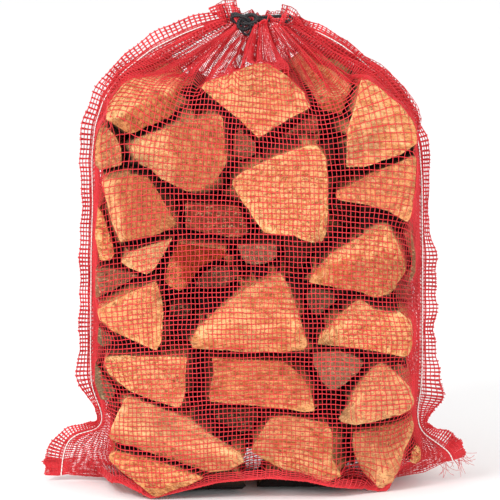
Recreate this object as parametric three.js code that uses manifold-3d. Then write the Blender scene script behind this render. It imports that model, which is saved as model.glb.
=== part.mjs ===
// A net bag of split firewood, standing on its base.
// Millimetres, +Z up. The bag's two halves meet in the plane Y = 0; its broad front faces -Y.

import * as THREE from 'three';
import { ConvexGeometry } from 'three/addons/geometries/ConvexGeometry.js';
import { mergeVertices } from 'three/addons/utils/BufferGeometryUtils.js';
import Module from 'manifold-3d';

const wasm = await Module();
wasm.setup();

// ---- driving dimensions ----
const LOG_GAP = 1.2; // kept clear around every log's outline
const LOG_STEPS = 3; // lengthwise facets of a log
const NET = 1.3; // thickness of the net's solid
const SEAM_GAP = 0.3; // between the two net halves, to each side of Y = 0
const FLANGE = 15; // width of the net outside its side seam
const MIDDLE = new THREE.Vector3(0, 0, 290); // the middle of the packed bag
const LOG_CLEARANCE = 2; // from the logs to the net's inner face
const BASE_HALF_WIDTH = 172;
const BASE_HALF_DEPTH = 96;
const NECK = { x: 8, z: 570, halfWidth: 38, halfDepth: 21, pinchZ: 582, topZ: 601, waist: 24, lip: 36 };
const NECK_SCALE_X = 1.4;
const NECK_SCALE_Y = 0.75;
const CORD = 2; // radius of the drawstring
const THREAD = 0.8; // radius of the seam thread

// The side seam seen from the front, from the base up to the neck: half-width and height.
const SEAM = [
  [184, 16], [199, 50], [203, 130], [203, 290], [202, 406], [197, 448],
  [186, 482], [161, 514], [124, 544], [86, 563], [64, 567],
];

// The two ears at the bottom corners, where the seams' flanges stick out flat.
const LEFT_EAR = [
  [-196, 84], [-207, 70], [-234, 65], [-250, 41], [-259, 22], [-250, 9], [-180, 4], [-180, 60],
];
const RIGHT_EAR = [
  [200, 90], [221, 76], [233, 63], [252, 52], [259, 29], [230, 9], [180, 4], [180, 60],
];

// ---- the logs ----
// outline: the front end seen from the front, [x, z]. front: that end's y. back: the far end's y.
// tilt: how the front end slopes back per millimetre in x and z. taper: the far end's scale.
// turn: degrees by which the far end is twisted. drop: how much lower the far end lies.
const LOGS = {
  log_top_left: {
    outline: [[-184, 472], [-183, 485], [-164, 510], [-150, 518], [-90, 521], [-84, 511],
      [-103, 474], [-153, 454]],
    front: -84, back: 84, tilt: [-0.05, 0.75], taper: 0.9,
  },
  log_left_shoulder: {
    outline: [[-190, 460], [-180, 459], [-170, 450], [-163, 435], [-162, 413], [-190, 405], [-197, 411],
      [-197, 438]],
    front: -86, back: 96, tilt: [-0.3, 0.1],
  },
  log_upper_left: {
    outline: [[-155, 438], [-145, 450], [-104, 465], [-42, 481], [-37, 476], [-32, 423], [-43, 400],
      [-66, 385], [-83, 384], [-117, 400], [-130, 412], [-144, 418]],
    front: -112, back: 108, tilt: [-0.08, 0.1], turn: 2,
  },
  log_left_square: {
    outline: [[-190, 397], [-151, 407], [-130, 404], [-120, 390], [-94, 345], [-106, 334], [-141, 323],
      [-166, 319], [-177, 345]],
    front: -112, back: 112, tilt: [-0.16, 0], turn: -2,
  },
  log_left_edge: {
    outline: [[-193, 362], [-186, 352], [-182, 338], [-174, 314], [-172, 300], [-178, 292], [-191, 293],
      [-197, 325]],
    front: -88, back: 98,
  },
  log_left_splinter: {
    outline: [[-166, 294], [-157, 306], [-123, 318], [-99, 326], [-107, 310], [-124, 284], [-133, 279],
      [-155, 287]],
    front: -105, back: 88, tilt: [-0.15, 0.3],
  },
  log_left_dark: {
    outline: [[-197, 283], [-178, 284], [-158, 279], [-141, 274], [-160, 263], [-180, 252], [-197, 244]],
    front: -84, back: 104,
  },
  log_left_triangle: {
    outline: [[-120, 275], [-133, 269], [-156, 257], [-189, 239], [-195, 232], [-192, 222], [-177, 209],
      [-138, 192], [-120, 185], [-113, 197], [-110, 234], [-113, 256]],
    front: -114, back: 110, tilt: [-0.18, 0.06], turn: 2,
  },
  log_left_sliver: {
    outline: [[-193, 211], [-178, 200], [-158, 190], [-143, 187], [-165, 186], [-187, 184], [-195, 190]],
    front: -82, back: 92,
  },
  log_lower_left: {
    outline: [[-185, 176], [-161, 180], [-128, 179], [-81, 180], [-84, 134], [-88, 117], [-93, 113],
      [-128, 123], [-156, 134], [-180, 155], [-186, 166]],
    front: -116, back: 112, tilt: [-0.14, -0.05], turn: -1.5,
  },
  log_lower_left_dark: {
    outline: [[-197, 165], [-191, 158], [-186, 148], [-176, 137], [-170, 128], [-175, 117], [-190, 116],
      [-198, 140]],
    front: -82, back: 102,
  },
  log_across_upper: {
    outline: [[-161, 126], [-156, 128], [-117, 115], [-81, 101], [-57, 84], [-16, 60], [-10, 47],
      [-30, 37], [-53, 34], [-92, 46], [-139, 61], [-177, 73], [-182, 79], [-170, 108]],
    front: -120, back: -8, tilt: [-0.06, 0.16], taper: 0.86,
  },
  log_across_lower: {
    outline: [[-181, 57], [-172, 61], [-139, 55], [-92, 41], [-60, 29], [-81, 18], [-100, 12],
      [-117, 3.6], [-125, 3.6], [-141, 17], [-166, 36], [-181, 50]],
    front: -126, back: -10, tilt: [-0.08, 0.05], taper: 0.88,
  },
  log_top_centre: {
    outline: [[-67, 512], [-62, 519], [-38, 526], [2, 542], [16, 542], [43, 526], [64, 504], [71, 487],
      [41, 471], [16, 456], [5, 450], [-21, 474], [-53, 499]],
    front: -100, back: 92, tilt: [0.05, 0.28], taper: 0.66, drop: 16, turn: 1.5,
  },
  log_top_right_back: {
    outline: [[50, 533], [58, 537], [79, 532], [105, 526], [117, 516], [121, 505], [114, 486],
      [108, 473], [98, 475], [82, 480], [77, 488], [70, 500], [57, 518]],
    front: -58, back: 96, tilt: [0, 0.6],
  },
  log_upper_right: {
    outline: [[131, 521], [140, 521], [154, 512], [180, 490], [196, 470], [202, 456], [202, 441],
      [181, 428], [145, 416], [131, 413], [112, 414], [113, 449], [116, 466], [126, 497]],
    front: -101, back: 98, tilt: [0.16, 0.22], turn: -2, taper: 0.84,
  },
  log_right_wedge: {
    outline: [[98, 378], [100, 385], [118, 393], [145, 408], [181, 421], [197, 428], [202, 426],
      [200, 388], [195, 349], [190, 343], [165, 358], [134, 367], [104, 373]],
    front: -106, back: 106, tilt: [0.14, 0.05],
  },
  log_centre: {
    outline: [[-29, 400], [-15, 411], [26, 431], [67, 444], [78, 444], [91, 427], [93, 373], [91, 335],
      [85, 321], [71, 320], [46, 330], [12, 333], [-11, 366], [-29, 395]],
    front: -123, back: 114, tilt: [0.03, 0.03], turn: 2,
  },
  log_under_top: {
    outline: [[24, 440], [45, 456], [58, 466], [74, 474], [80, 468], [80, 452], [66, 450], [50, 445],
      [34, 439]],
    front: -78, back: 104,
  },
  log_dark_upper_centre: {
    outline: [[-26, 462], [-19, 460], [-6, 448], [3, 440], [3, 425], [-8, 420], [-22, 414], [-27, 417]],
    front: -80, back: 104,
  },
  log_dark_rectangle: {
    outline: [[-86, 367], [-22, 364], [-16, 358], [-6, 330], [-12, 323], [-30, 323], [-53, 327],
      [-86, 334]],
    front: -92, back: 112,
  },
  log_tipped: {
    outline: [[-111, 276], [-107, 292], [-99, 308], [-92, 317], [-79, 315], [-36, 307], [-30, 299],
      [-48, 294], [-63, 288], [-73, 277], [-83, 263], [-92, 258], [-104, 263], [-111, 270]],
    front: -98, back: 96, tilt: [0.22, 0.3],
  },
  log_grey_recessed: {
    outline: [[-75, 262], [-62, 276], [-48, 283], [-22, 284], [-16, 277], [-20, 267], [-36, 256],
      [-61, 253], [-72, 255]],
    front: -66, back: 108,
  },
  log_small_recessed: {
    outline: [[-22, 313], [-5, 314], [28, 314], [30, 297], [24, 292], [15, 288], [-5, 286], [-12, 290],
      [-18, 300]],
    front: -82, back: 112,
  },
  log_centre_triangle: {
    outline: [[33, 286], [43, 270], [56, 237], [68, 195], [64, 188], [36, 184], [-12, 185], [-78, 190],
      [-80, 197], [-71, 217], [-43, 242], [-7, 267], [22, 283]],
    front: -125, back: 116, tilt: [0.02, 0.08], turn: -2,
  },
  log_right_long: {
    outline: [[65, 272], [71, 285], [94, 309], [133, 331], [156, 342], [165, 342], [177, 322],
      [187, 299], [189, 285], [175, 261], [164, 254], [148, 251], [134, 258], [93, 266]],
    front: -114, back: 112, tilt: [0.12, 0.1], turn: 1.5,
  },
  log_right_dark: {
    outline: [[184, 328], [194, 330], [200, 300], [200, 275], [193, 262], [184, 264], [195, 285],
      [192, 302]],
    front: -72, back: 98, taper: 0.97,
  },
  log_right_light: {
    outline: [[131, 251], [148, 239], [169, 232], [182, 231], [196, 220], [197, 189], [192, 177],
      [184, 176], [149, 184], [107, 191], [76, 194], [79, 207], [107, 234], [122, 247]],
    front: -114, back: 110, tilt: [0.14, 0.05], turn: -1.5,
  },
  log_right_gap: {
    outline: [[70, 225], [78, 218], [98, 236], [110, 247], [95, 254], [70, 258], [62, 248]],
    front: -74, back: 106,
  },
  log_grey_right: {
    outline: [[72, 181], [103, 183], [123, 177], [138, 166], [128, 152], [112, 139], [103, 133],
      [93, 133], [81, 145], [72, 166]],
    front: -98, back: 110, tilt: [0.1, 0.1],
  },
  log_lower_right: {
    outline: [[157, 169], [165, 166], [181, 152], [195, 137], [200, 120], [198, 111], [181, 102],
      [145, 94], [125, 91], [105, 95], [102, 100], [113, 116], [124, 137], [135, 152], [147, 164]],
    front: -110, back: 110, tilt: [0.12, 0.1], turn: 2,
  },
  log_bottom_right: {
    outline: [[122, 76], [145, 80], [181, 88], [197, 97], [200, 84], [197, 70], [187, 52], [182, 30],
      [172, 10], [160, 3.6], [154, 3.6], [134, 24], [123, 47], [120, 62]],
    front: -70, back: 112, tilt: [0.1, 0.1],
  },
  log_bottom_centre: {
    outline: [[-6, 58], [-2, 68], [14, 93], [22, 101], [37, 103], [79, 96], [92, 93], [98, 80],
      [99, 46], [110, 25], [89, 18], [57, 31], [32, 35], [6, 50]],
    front: -108, back: 112, tilt: [0.05, 0.1], turn: -1,
  },
  log_low_centre: {
    outline: [[-53, 178], [-5, 175], [36, 174], [57, 158], [72, 136], [77, 109], [62, 108], [36, 113],
      [-12, 117], [-56, 122], [-57, 128], [-52, 160]],
    front: -119, back: 114, tilt: [0.02, 0.02], turn: 1.5,
  },
  log_right_corner: {
    outline: [[192, 32], [201, 28], [208, 36], [207, 49], [201, 55], [195, 47]],
    front: -46, back: 84,
  },
  log_left_gap: {
    outline: [[-104, 238], [-92, 244], [-76, 232], [-82, 212], [-88, 192], [-102, 190], [-105, 210]],
    front: -68, back: 106,
  },
  log_low_strip: {
    outline: [[-66, 102], [-30, 108], [2, 105], [8, 96], [-4, 77], [-14, 73], [-52, 92]],
    front: -74, back: 110,
  },
  log_deep_upper_left: {
    outline: [[-97, 472], [-80, 507], [-72, 507], [-58, 494], [-44, 486]],
    front: -30, back: 88,
  },
  log_deep_left: {
    outline: [[-113, 392], [-84, 380], [-66, 381], [-68, 371], [-90, 371], [-90, 350]],
    front: -34, back: 108,
  },
  log_deep_centre_left: {
    outline: [[-60, 371], [-18, 370], [-31, 392], [-33, 410], [-41, 395], [-62, 382]],
    front: -38, back: 110,
  },
  log_deep_upper_right: {
    outline: [[84, 473], [98, 469], [110, 467], [108, 448], [107, 412], [127, 407], [113, 397],
      [97, 386], [96, 428], [85, 447]],
    front: -32, back: 104,
  },
  log_deep_right: {
    outline: [[97, 369], [103, 368], [133, 362], [164, 353], [187, 339], [181, 329], [167, 347],
      [154, 347], [132, 336], [97, 316], [95, 335]],
    front: -34, back: 106,
  },
  log_deep_centre: {
    outline: [[34, 316], [47, 325], [70, 315], [85, 316], [89, 310], [67, 288], [61, 275], [51, 262],
      [46, 273], [38, 288], [35, 300]],
    front: -32, back: 110,
  },
  log_deep_right_edge: {
    outline: [[160, 246], [172, 252], [181, 260], [194, 256], [197, 230], [184, 236], [170, 238]],
    front: -36, back: 98,
  },
  log_deep_lower_left: {
    outline: [[-78, 179], [-57, 178], [-57, 160], [-62, 128], [-61, 120], [-86, 111], [-84, 118],
      [-80, 134]],
    front: -36, back: 110,
  },
  log_deep_lower_centre: {
    outline: [[65, 160], [70, 162], [79, 142], [92, 129], [104, 129], [118, 133], [109, 116], [98, 99],
      [83, 102], [82, 111], [77, 137]],
    front: -34, back: 110,
  },
  log_deep_bottom: {
    outline: [[103, 86], [117, 86], [117, 74], [115, 60], [118, 46], [127, 26], [115, 28], [104, 48],
      [103, 80]],
    front: -34, back: 108,
  },
  log_back_left_low: {
    outline: [[-176, 20], [-182, 62], [-130, 74], [-98, 50], [-102, 10], [-150, 5]],
    front: 2, back: 112,
  },
  log_back_middle_low: {
    outline: [[-88, 8], [-84, 56], [-50, 66], [-14, 56], [-16, 12], [-50, 5]],
    front: 2, back: 112,
  },
  log_back_left_high: {
    outline: [[-172, 84], [-162, 118], [-110, 106], [-72, 92], [-74, 72], [-124, 84]],
    front: 4, back: 110,
  },
};

const WOOD_TONES = [0xf2c08a, 0xe8a468, 0xd98a50, 0xeeb27a];

// ---- helpers ----
function toManifold(geometry) {
  const bare = geometry.index ? geometry.toNonIndexed() : geometry.clone();
  bare.deleteAttribute('normal');
  bare.deleteAttribute('uv');
  const welded = mergeVertices(bare, 1e-3);
  return new wasm.Manifold(new wasm.Mesh({
    numProp: 3,
    vertProperties: new Float32Array(welded.attributes.position.array),
    triVerts: new Uint32Array(welded.index.array),
  }));
}

function toGeometry(solid) {
  const mesh = solid.getMesh();
  const geometry = new THREE.BufferGeometry();
  geometry.setAttribute('position', new THREE.BufferAttribute(new Float32Array(mesh.vertProperties), 3));
  geometry.setIndex(new THREE.BufferAttribute(new Uint32Array(mesh.triVerts), 1));
  geometry.computeVertexNormals();
  return geometry;
}

function named(name, geometry, color, roughness) {
  const mesh = new THREE.Mesh(geometry, new THREE.MeshStandardMaterial({ color, roughness, metalness: 0 }));
  mesh.name = name;
  return mesh;
}

function plate(outline, y0, y1) {
  const shape = new THREE.Shape(outline.map(([x, z]) => new THREE.Vector2(x, z)));
  const geometry = new THREE.ExtrudeGeometry(shape, { depth: y1 - y0, bevelEnabled: false });
  geometry.rotateX(Math.PI / 2);
  geometry.translate(0, y1, 0);
  return geometry;
}

function centreOf(outline) {
  const n = outline.length;
  return [outline.reduce((s, p) => s + p[0], 0) / n, outline.reduce((s, p) => s + p[1], 0) / n];
}

function moveOutward(outline, distance) {
  // Shifts each point of an open line along its own normal, to the left of the way it runs.
  return outline.map(([x, z], i) => {
    const before = outline[Math.max(i - 1, 0)];
    const after = outline[Math.min(i + 1, outline.length - 1)];
    const along = new THREE.Vector2(after[0] - before[0], after[1] - before[1]).normalize();
    return [x + along.y * distance, z - along.x * distance];
  });
}

// ---- logs ----
function splitLog({ outline, front, back, tilt = [0, 0], taper = 0.92, turn = 0, drop = 0 }) {
  const [cx, cz] = centreOf(outline);
  const reach = Math.max(...outline.map(([x, z]) => Math.hypot(x - cx, z - cz)));
  const inset = 1 - LOG_GAP / reach;
  const shape = new THREE.Shape(outline.map(([x, z]) => new THREE.Vector2((x - cx) * inset, (z - cz) * inset)));
  const geometry = new THREE.ExtrudeGeometry(shape, { depth: 1, steps: LOG_STEPS, bevelEnabled: false });
  const place = geometry.attributes.position;
  for (let i = 0; i < place.count; i++) {
    const t = 1 - place.getZ(i);
    const scale = 1 + (taper - 1) * t;
    const angle = THREE.MathUtils.degToRad(turn) * t;
    const x = (place.getX(i) * Math.cos(angle) - place.getY(i) * Math.sin(angle)) * scale;
    const z = (place.getX(i) * Math.sin(angle) + place.getY(i) * Math.cos(angle)) * scale;
    const slope = (tilt[0] * x + tilt[1] * z) * (1 - t);
    place.setXYZ(i, cx + x, front + (back - front) * t + slope, cz + z - drop * t);
  }
  geometry.computeVertexNormals();
  return geometry;
}

function makeLogs() {
  return Object.entries(LOGS).map(([name, log], i) =>
    named(name, splitLog(log), WOOD_TONES[i % WOOD_TONES.length], 0.85));
}

// ---- the net bag ----
function neckRing(z, halfWidth, halfDepth) {
  return Array.from({ length: 16 }, (_, i) => {
    const a = (i / 16) * 2 * Math.PI;
    return new THREE.Vector3(NECK.x + halfWidth * Math.cos(a), halfDepth * Math.sin(a), z);
  });
}

function bagPoints(logs) {
  const points = neckRing(NECK.z, NECK.halfWidth, NECK.halfDepth);
  for (const log of logs) {
    const place = log.geometry.attributes.position;
    for (let i = 0; i < place.count; i++) points.push(new THREE.Vector3().fromBufferAttribute(place, i));
  }
  for (const [halfWidth, z] of SEAM) {
    points.push(new THREE.Vector3(-halfWidth, 0, z), new THREE.Vector3(halfWidth, 0, z));
  }
  return points;
}

function bagHull(points, grow, floor) {
  // The packed bag's outer shape, moved outward from its middle and stood flat on its base.
  const moved = points.map((p) => {
    const arm = p.clone().sub(MIDDLE);
    const q = MIDDLE.clone().add(arm.setLength(arm.length() + grow));
    return q.setZ(Math.max(q.z, floor));
  });
  for (const sx of [-1, 1]) {
    for (const sy of [-1, 1]) moved.push(new THREE.Vector3(sx * BASE_HALF_WIDTH, sy * BASE_HALF_DEPTH, floor));
  }
  return toManifold(new ConvexGeometry(moved));
}

function neckTube() {
  const outer = [
    [NECK.waist + 3, NECK.z - 6], [NECK.waist, NECK.pinchZ], [NECK.lip, NECK.topZ],
  ];
  const inner = outer.map(([r, z]) => [r - NET - 0.6, z]).reverse();
  const profile = [...outer, ...inner, outer[0]].map(([r, z]) => new THREE.Vector2(r, z));
  const geometry = new THREE.LatheGeometry(profile, 20);
  geometry.rotateX(Math.PI / 2);
  geometry.scale(NECK_SCALE_X, NECK_SCALE_Y, 1);
  geometry.translate(NECK.x, 0, 0);
  return geometry;
}

function seamOutline() {
  const edge = moveOutward(SEAM, FLANGE);
  const left = edge.map(([x, z]) => [-x, z]);
  const neckSide = NECK.halfWidth + 4;
  const notch = [[NECK.x + neckSide, NECK.z + 2], [NECK.x - neckSide, NECK.z + 2]];
  return [...edge, ...notch, ...left.reverse()];
}

function netHalf(side, outer, inner) {
  const near = side * SEAM_GAP;
  const far = side * (SEAM_GAP + NET);
  const y0 = Math.min(near, far);
  const y1 = Math.max(near, far);
  const reach = 700;
  const keep = new THREE.BoxGeometry(reach, reach, reach * 2);
  keep.translate(0, near + (side * reach) / 2, 0);
  let half = outer.subtract(inner).add(toManifold(neckTube())).intersect(toManifold(keep));
  for (const outline of [seamOutline(), LEFT_EAR, RIGHT_EAR]) {
    half = half.add(toManifold(plate(outline, y0, y1)).subtract(inner));
  }
  return toGeometry(half);
}

function makeNet(logs) {
  const points = bagPoints(logs);
  const inner = bagHull(points, LOG_CLEARANCE, NET);
  const outer = bagHull(points, LOG_CLEARANCE + NET, 0);
  return [
    named('net_front', netHalf(-1, outer, inner), 0xd02030, 0.6),
    named('net_back', netHalf(1, outer, inner), 0xd02030, 0.6),
  ];
}

// ---- thread and cord ----
function tube(points, radius, sides, steps) {
  const path = new THREE.CatmullRomCurve3(points, false, 'centripetal');
  const section = new THREE.Shape();
  section.absarc(0, 0, radius, 0, 2 * Math.PI, false);
  return new THREE.ExtrudeGeometry(section, { extrudePath: path, steps, curveSegments: sides / 2 });
}

function seamThread(side, ear) {
  const y = -(SEAM_GAP + NET + SEAM_GAP + THREAD);
  const line = moveOutward(SEAM.slice(2), FLANGE * 0.55);
  const points = [...ear, ...line].map(([x, z]) => new THREE.Vector3(side * x, y, z));
  return tube(points, THREAD, 6, 56);
}

function makeThreads() {
  const leftEar = [[243, 20], [240, 36], [228, 56], [217, 84]];
  const rightEar = [[242, 22], [243, 38], [230, 58], [217, 84]];
  return [
    named('seam_thread_left', seamThread(-1, leftEar), 0xf4f0ea, 0.7),
    named('seam_thread_right', seamThread(1, rightEar), 0xf4f0ea, 0.7),
  ];
}

function makeDrawstring() {
  const radius = NECK.waist + NET + CORD;
  const section = Array.from({ length: 9 }, (_, i) => {
    const a = (i / 8) * 2 * Math.PI;
    return new THREE.Vector2(radius + CORD * Math.cos(a), NECK.pinchZ + CORD * Math.sin(a));
  });
  section[8].copy(section[0]);
  const ring = new THREE.LatheGeometry(section, 32);
  ring.rotateX(Math.PI / 2);
  ring.scale(NECK_SCALE_X, NECK_SCALE_Y, 1);
  ring.translate(NECK.x, 0, 0);
  return named('drawstring', ring, 0x15151a, 0.6);
}

function makeKnot() {
  const frontOfRing = -(NECK.waist + NET + 2 * CORD) * NECK_SCALE_Y;
  const lumps = [[-12, 0, 0, 9, 7, 8], [-22, 1, 5, 7, 6, 8], [-3, 0, 4, 8, 6, 6], [-14, -1, 11, 6, 5, 5]];
  let knot = null;
  for (const [x, y, z, rx, ry, rz] of lumps) {
    const lump = new THREE.SphereGeometry(1, 14, 10);
    lump.scale(rx, ry, rz);
    lump.translate(x, frontOfRing - 8.5 + y, NECK.pinchZ - 2 + z);
    knot = knot ? knot.add(toManifold(lump)) : toManifold(lump);
  }
  return named('drawstring_knot', toGeometry(knot), 0x15151a, 0.6);
}

// ---- assembly ----
const group = new THREE.Group();
const logs = makeLogs();
group.add(...logs, ...makeNet(logs), ...makeThreads(), makeDrawstring(), makeKnot());

const box = new THREE.Box3().setFromObject(group);
const centre = box.getCenter(new THREE.Vector3());
group.position.set(-centre.x, -centre.y, -box.min.z);
group.updateMatrixWorld(true);

export default group;
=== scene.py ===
"""A net bag of split firewood: the finish of the logs, the knotted net and its cords.

Every size is in metres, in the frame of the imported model. +Z is up and the bag's broad front faces -Y.
"""

import logging
import math
from dataclasses import dataclass, field
from enum import Enum

import bmesh
import bpy
import numpy as np
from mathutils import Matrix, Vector, noise
from mathutils.bvhtree import BVHTree


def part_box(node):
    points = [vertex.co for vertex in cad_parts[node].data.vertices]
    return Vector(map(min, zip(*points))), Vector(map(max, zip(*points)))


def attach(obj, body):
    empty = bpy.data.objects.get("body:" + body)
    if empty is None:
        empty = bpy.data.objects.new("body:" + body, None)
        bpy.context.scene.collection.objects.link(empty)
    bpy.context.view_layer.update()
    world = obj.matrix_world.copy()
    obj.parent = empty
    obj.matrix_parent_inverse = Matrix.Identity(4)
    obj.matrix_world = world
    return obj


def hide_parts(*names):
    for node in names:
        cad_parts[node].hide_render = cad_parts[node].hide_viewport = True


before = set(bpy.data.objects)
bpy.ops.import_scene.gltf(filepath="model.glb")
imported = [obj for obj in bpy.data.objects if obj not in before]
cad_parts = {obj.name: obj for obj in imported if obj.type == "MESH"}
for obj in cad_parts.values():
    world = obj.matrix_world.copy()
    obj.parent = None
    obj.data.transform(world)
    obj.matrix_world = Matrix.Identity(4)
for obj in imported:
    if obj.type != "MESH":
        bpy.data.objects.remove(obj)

LOG = logging.getLogger("firewood")
MM = 0.001
ROOT = "root"
SEED = 7


# ---------------------------------------------------------------- colour


def linear(red: int, green: int, blue: int) -> tuple[float, float, float, float]:
    """Turns a screen colour of 0 to 255 into a linear one.

    Args:
        red: The red part.
        green: The green part.
        blue: The blue part.

    Returns:
        The linear colour with an alpha of 1.
    """
    parts = [c / 255 for c in (red, green, blue)]
    return (*[c / 12.92 if c <= 0.04045 else ((c + 0.055) / 1.055) ** 2.4 for c in parts], 1.0)


# ---------------------------------------------------------------- shader maths


class Value:
    """A socket of a shader tree on which sums can be written as Python expressions."""

    def __init__(self, shade: "Shade", socket: bpy.types.NodeSocket) -> None:
        """Wraps one output socket of one shader tree."""
        self.shade = shade
        self.socket = socket

    def _math(self, operation: str, first: object, second: object = None, third: object = None) -> "Value":
        """Adds one Math node.

        Args:
            operation: The Math node's operation.
            first: The first operand.
            second: The second operand, if there is one.
            third: The third operand, if there is one.

        Returns:
            The node's result.
        """
        given = {i: v for i, v in enumerate((first, second, third)) if v is not None}
        return self.shade.node("ShaderNodeMath", {"operation": operation}, given).out(0)

    def __add__(self, other: object) -> "Value":
        """Adds."""
        return self._math("ADD", self, other)

    __radd__ = __add__

    def __sub__(self, other: object) -> "Value":
        """Takes away."""
        return self._math("SUBTRACT", self, other)

    def __rsub__(self, other: object) -> "Value":
        """Takes this value away from a number."""
        return self._math("SUBTRACT", other, self)

    def __mul__(self, other: object) -> "Value":
        """Multiplies."""
        return self._math("MULTIPLY", self, other)

    __rmul__ = __mul__

    def __truediv__(self, other: object) -> "Value":
        """Divides."""
        return self._math("DIVIDE", self, other)

    def __pow__(self, other: object) -> "Value":
        """Raises to a power."""
        return self._math("POWER", self, other)

    def __abs__(self) -> "Value":
        """Gives the size without the sign."""
        return self._math("ABSOLUTE", self)

    def sine(self) -> "Value":
        """Gives the sine of an angle in radians."""
        return self._math("SINE", self)

    def larger(self, other: object) -> "Value":
        """Gives the larger of two values."""
        return self._math("MAXIMUM", self, other)

    def angle_from(self, other: "Value") -> "Value":
        """Gives the angle whose tangent is this value over the other."""
        return self._math("ARCTAN2", self, other)

    def ramp(self, low: float, high: float) -> "Value":
        """Rises smoothly from 0 to 1.

        Args:
            low: The value at which the result is 0.
            high: The value at which the result is 1.

        Returns:
            The smooth step.
        """
        settings = {"interpolation_type": "SMOOTHSTEP"}
        given = {"Value": self, "From Min": low, "From Max": high}
        return self.shade.node("ShaderNodeMapRange", settings, given).out("Result")


class Placed:
    """A node that has been added to a shader tree."""

    def __init__(self, shade: "Shade", node: bpy.types.Node) -> None:
        """Wraps one node of one shader tree."""
        self.shade = shade
        self.node = node

    def out(self, name: str | int) -> Value:
        """Gives one of the node's outputs."""
        return Value(self.shade, self.node.outputs[name])


class Shade:
    """A surface material that is being put together from nodes."""

    def __init__(self, name: str) -> None:
        """Starts a material with nothing but its output and its shader.

        Args:
            name: The material's name.
        """
        self.material = bpy.data.materials.new(name)
        self.material.use_nodes = True
        self.tree = self.material.node_tree
        self.tree.nodes.clear()
        self.surface = self.node("ShaderNodeBsdfPrincipled", {}, {}).node
        self.node("ShaderNodeOutputMaterial", {}, {"Surface": Value(self, self.surface.outputs["BSDF"])})

    def node(self, kind: str, settings: dict, given: dict) -> Placed:
        """Adds a node, sets it up and fills its sockets.

        Args:
            kind: The node's type.
            settings: The node's own settings, with a colour ramp's stops under "stops".
            given: Values or links, by the sockets' names or numbers.

        Returns:
            The node.
        """
        node = self.tree.nodes.new(kind)
        for key, setting in settings.items():
            if key == "stops":
                self._stops(node, setting)
            else:
                setattr(node, key, setting)
        for key, value in given.items():
            socket = node.inputs[key]
            if isinstance(value, Value):
                self.tree.links.new(value.socket, socket)
            else:
                socket.default_value = value
        return Placed(self, node)

    @staticmethod
    def _stops(node: bpy.types.Node, stops: list) -> None:
        """Lays a colour ramp's stops, given as places and colours."""
        ramp = node.color_ramp
        while len(ramp.elements) < len(stops):
            ramp.elements.new(0.5)
        for element, (place, colour) in zip(ramp.elements, stops):
            element.position = place
            element.color = colour

    def attribute(self, name: str, part: str = "Vector") -> Value:
        """Reads a named attribute of the mesh."""
        return self.node("ShaderNodeAttribute", {"attribute_name": name}, {}).out(part)

    def parts(self, vector: Value) -> tuple[Value, Value, Value]:
        """Splits a vector into its three numbers."""
        split = self.node("ShaderNodeSeparateXYZ", {}, {"Vector": vector})
        return split.out("X"), split.out("Y"), split.out("Z")

    def stretch(self, vector: Value, factors: tuple[float, float, float]) -> Value:
        """Scales a vector by a factor along each axis."""
        given = {0: vector, 1: factors}
        return self.node("ShaderNodeVectorMath", {"operation": "MULTIPLY"}, given).out("Vector")

    def combine(self, x: Value, y: Value, z: Value) -> Value:
        """Makes a vector of three numbers."""
        return self.node("ShaderNodeCombineXYZ", {}, {"X": x, "Y": y, "Z": z}).out("Vector")

    def noise(self, vector: Value, scale: float, detail: float = 2.0, rough: float = 0.5) -> Value:
        """Adds a soft noise.

        Args:
            vector: Where to read it.
            scale: How fine it is, in lumps per unit.
            detail: How many finer layers it has.
            rough: How strong those layers are.

        Returns:
            The noise, from 0 to 1.
        """
        given = {"Vector": vector, "Scale": scale, "Detail": detail, "Roughness": rough}
        return self.node("ShaderNodeTexNoise", {"noise_dimensions": "3D"}, given).out("Fac")

    def mix(self, first: object, second: object, factor: object, blend: str = "MIX") -> Value:
        """Mixes two colours.

        Args:
            first: The colour at factor 0.
            second: The colour at factor 1.
            factor: How much of the second shows.
            blend: The way of blending.

        Returns:
            The mixed colour.
        """
        settings = {"data_type": "RGBA", "blend_type": blend}
        return self.node("ShaderNodeMix", settings, {0: factor, 6: first, 7: second}).out(2)

    def bump(self, height: Value, distance: float, strength: float) -> Value:
        """Turns a height into a normal.

        Args:
            height: The height, from 0 to 1.
            distance: What a height of 1 stands for, in metres.
            strength: How much of it shows.

        Returns:
            The normal.
        """
        given = {"Height": height, "Distance": distance, "Strength": strength}
        return self.node("ShaderNodeBump", {}, given).out("Normal")

    def finish(self, links: dict, numbers: dict) -> bpy.types.Material:
        """Fills the shader's sockets.

        Args:
            links: What varies over the surface.
            numbers: What is the same all over it.

        Returns:
            The material.
        """
        for name, value in links.items():
            self.tree.links.new(value.socket, self.surface.inputs[name])
        for name, value in numbers.items():
            self.surface.inputs[name].default_value = value
        return self.material


# ---------------------------------------------------------------- finishes


class Tone(Enum):
    """The colours that split logs have. SHADOW is painted shade, near black, for logs deep in the gaps; DARK
    and GREY are darker and weathered wood, deepened with painted shade, for recessed logs.
    """

    PALE = "pale"
    HONEY = "honey"
    ORANGE = "orange"
    BROWN = "brown"
    DARK = "dark"
    GREY = "grey"
    SHADOW = "shadow"


TONES = {
    Tone.PALE: ((251, 191, 129), (217, 136, 80)),
    Tone.HONEY: ((243, 170, 108), (204, 118, 68)),
    Tone.ORANGE: ((232, 146, 88), (190, 103, 58)),
    Tone.BROWN: ((216, 132, 80), (162, 87, 50)),
    # Darker and weathered wood, deepened with painted shade for recessed logs.
    Tone.DARK: ((166, 82, 54), (114, 54, 37)),
    Tone.GREY: ((164, 108, 84), (116, 72, 56)),
    # Painted shade, near black, for logs deep in the gaps.
    Tone.SHADOW: ((56, 26, 19), (32, 14, 10)),
}


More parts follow.
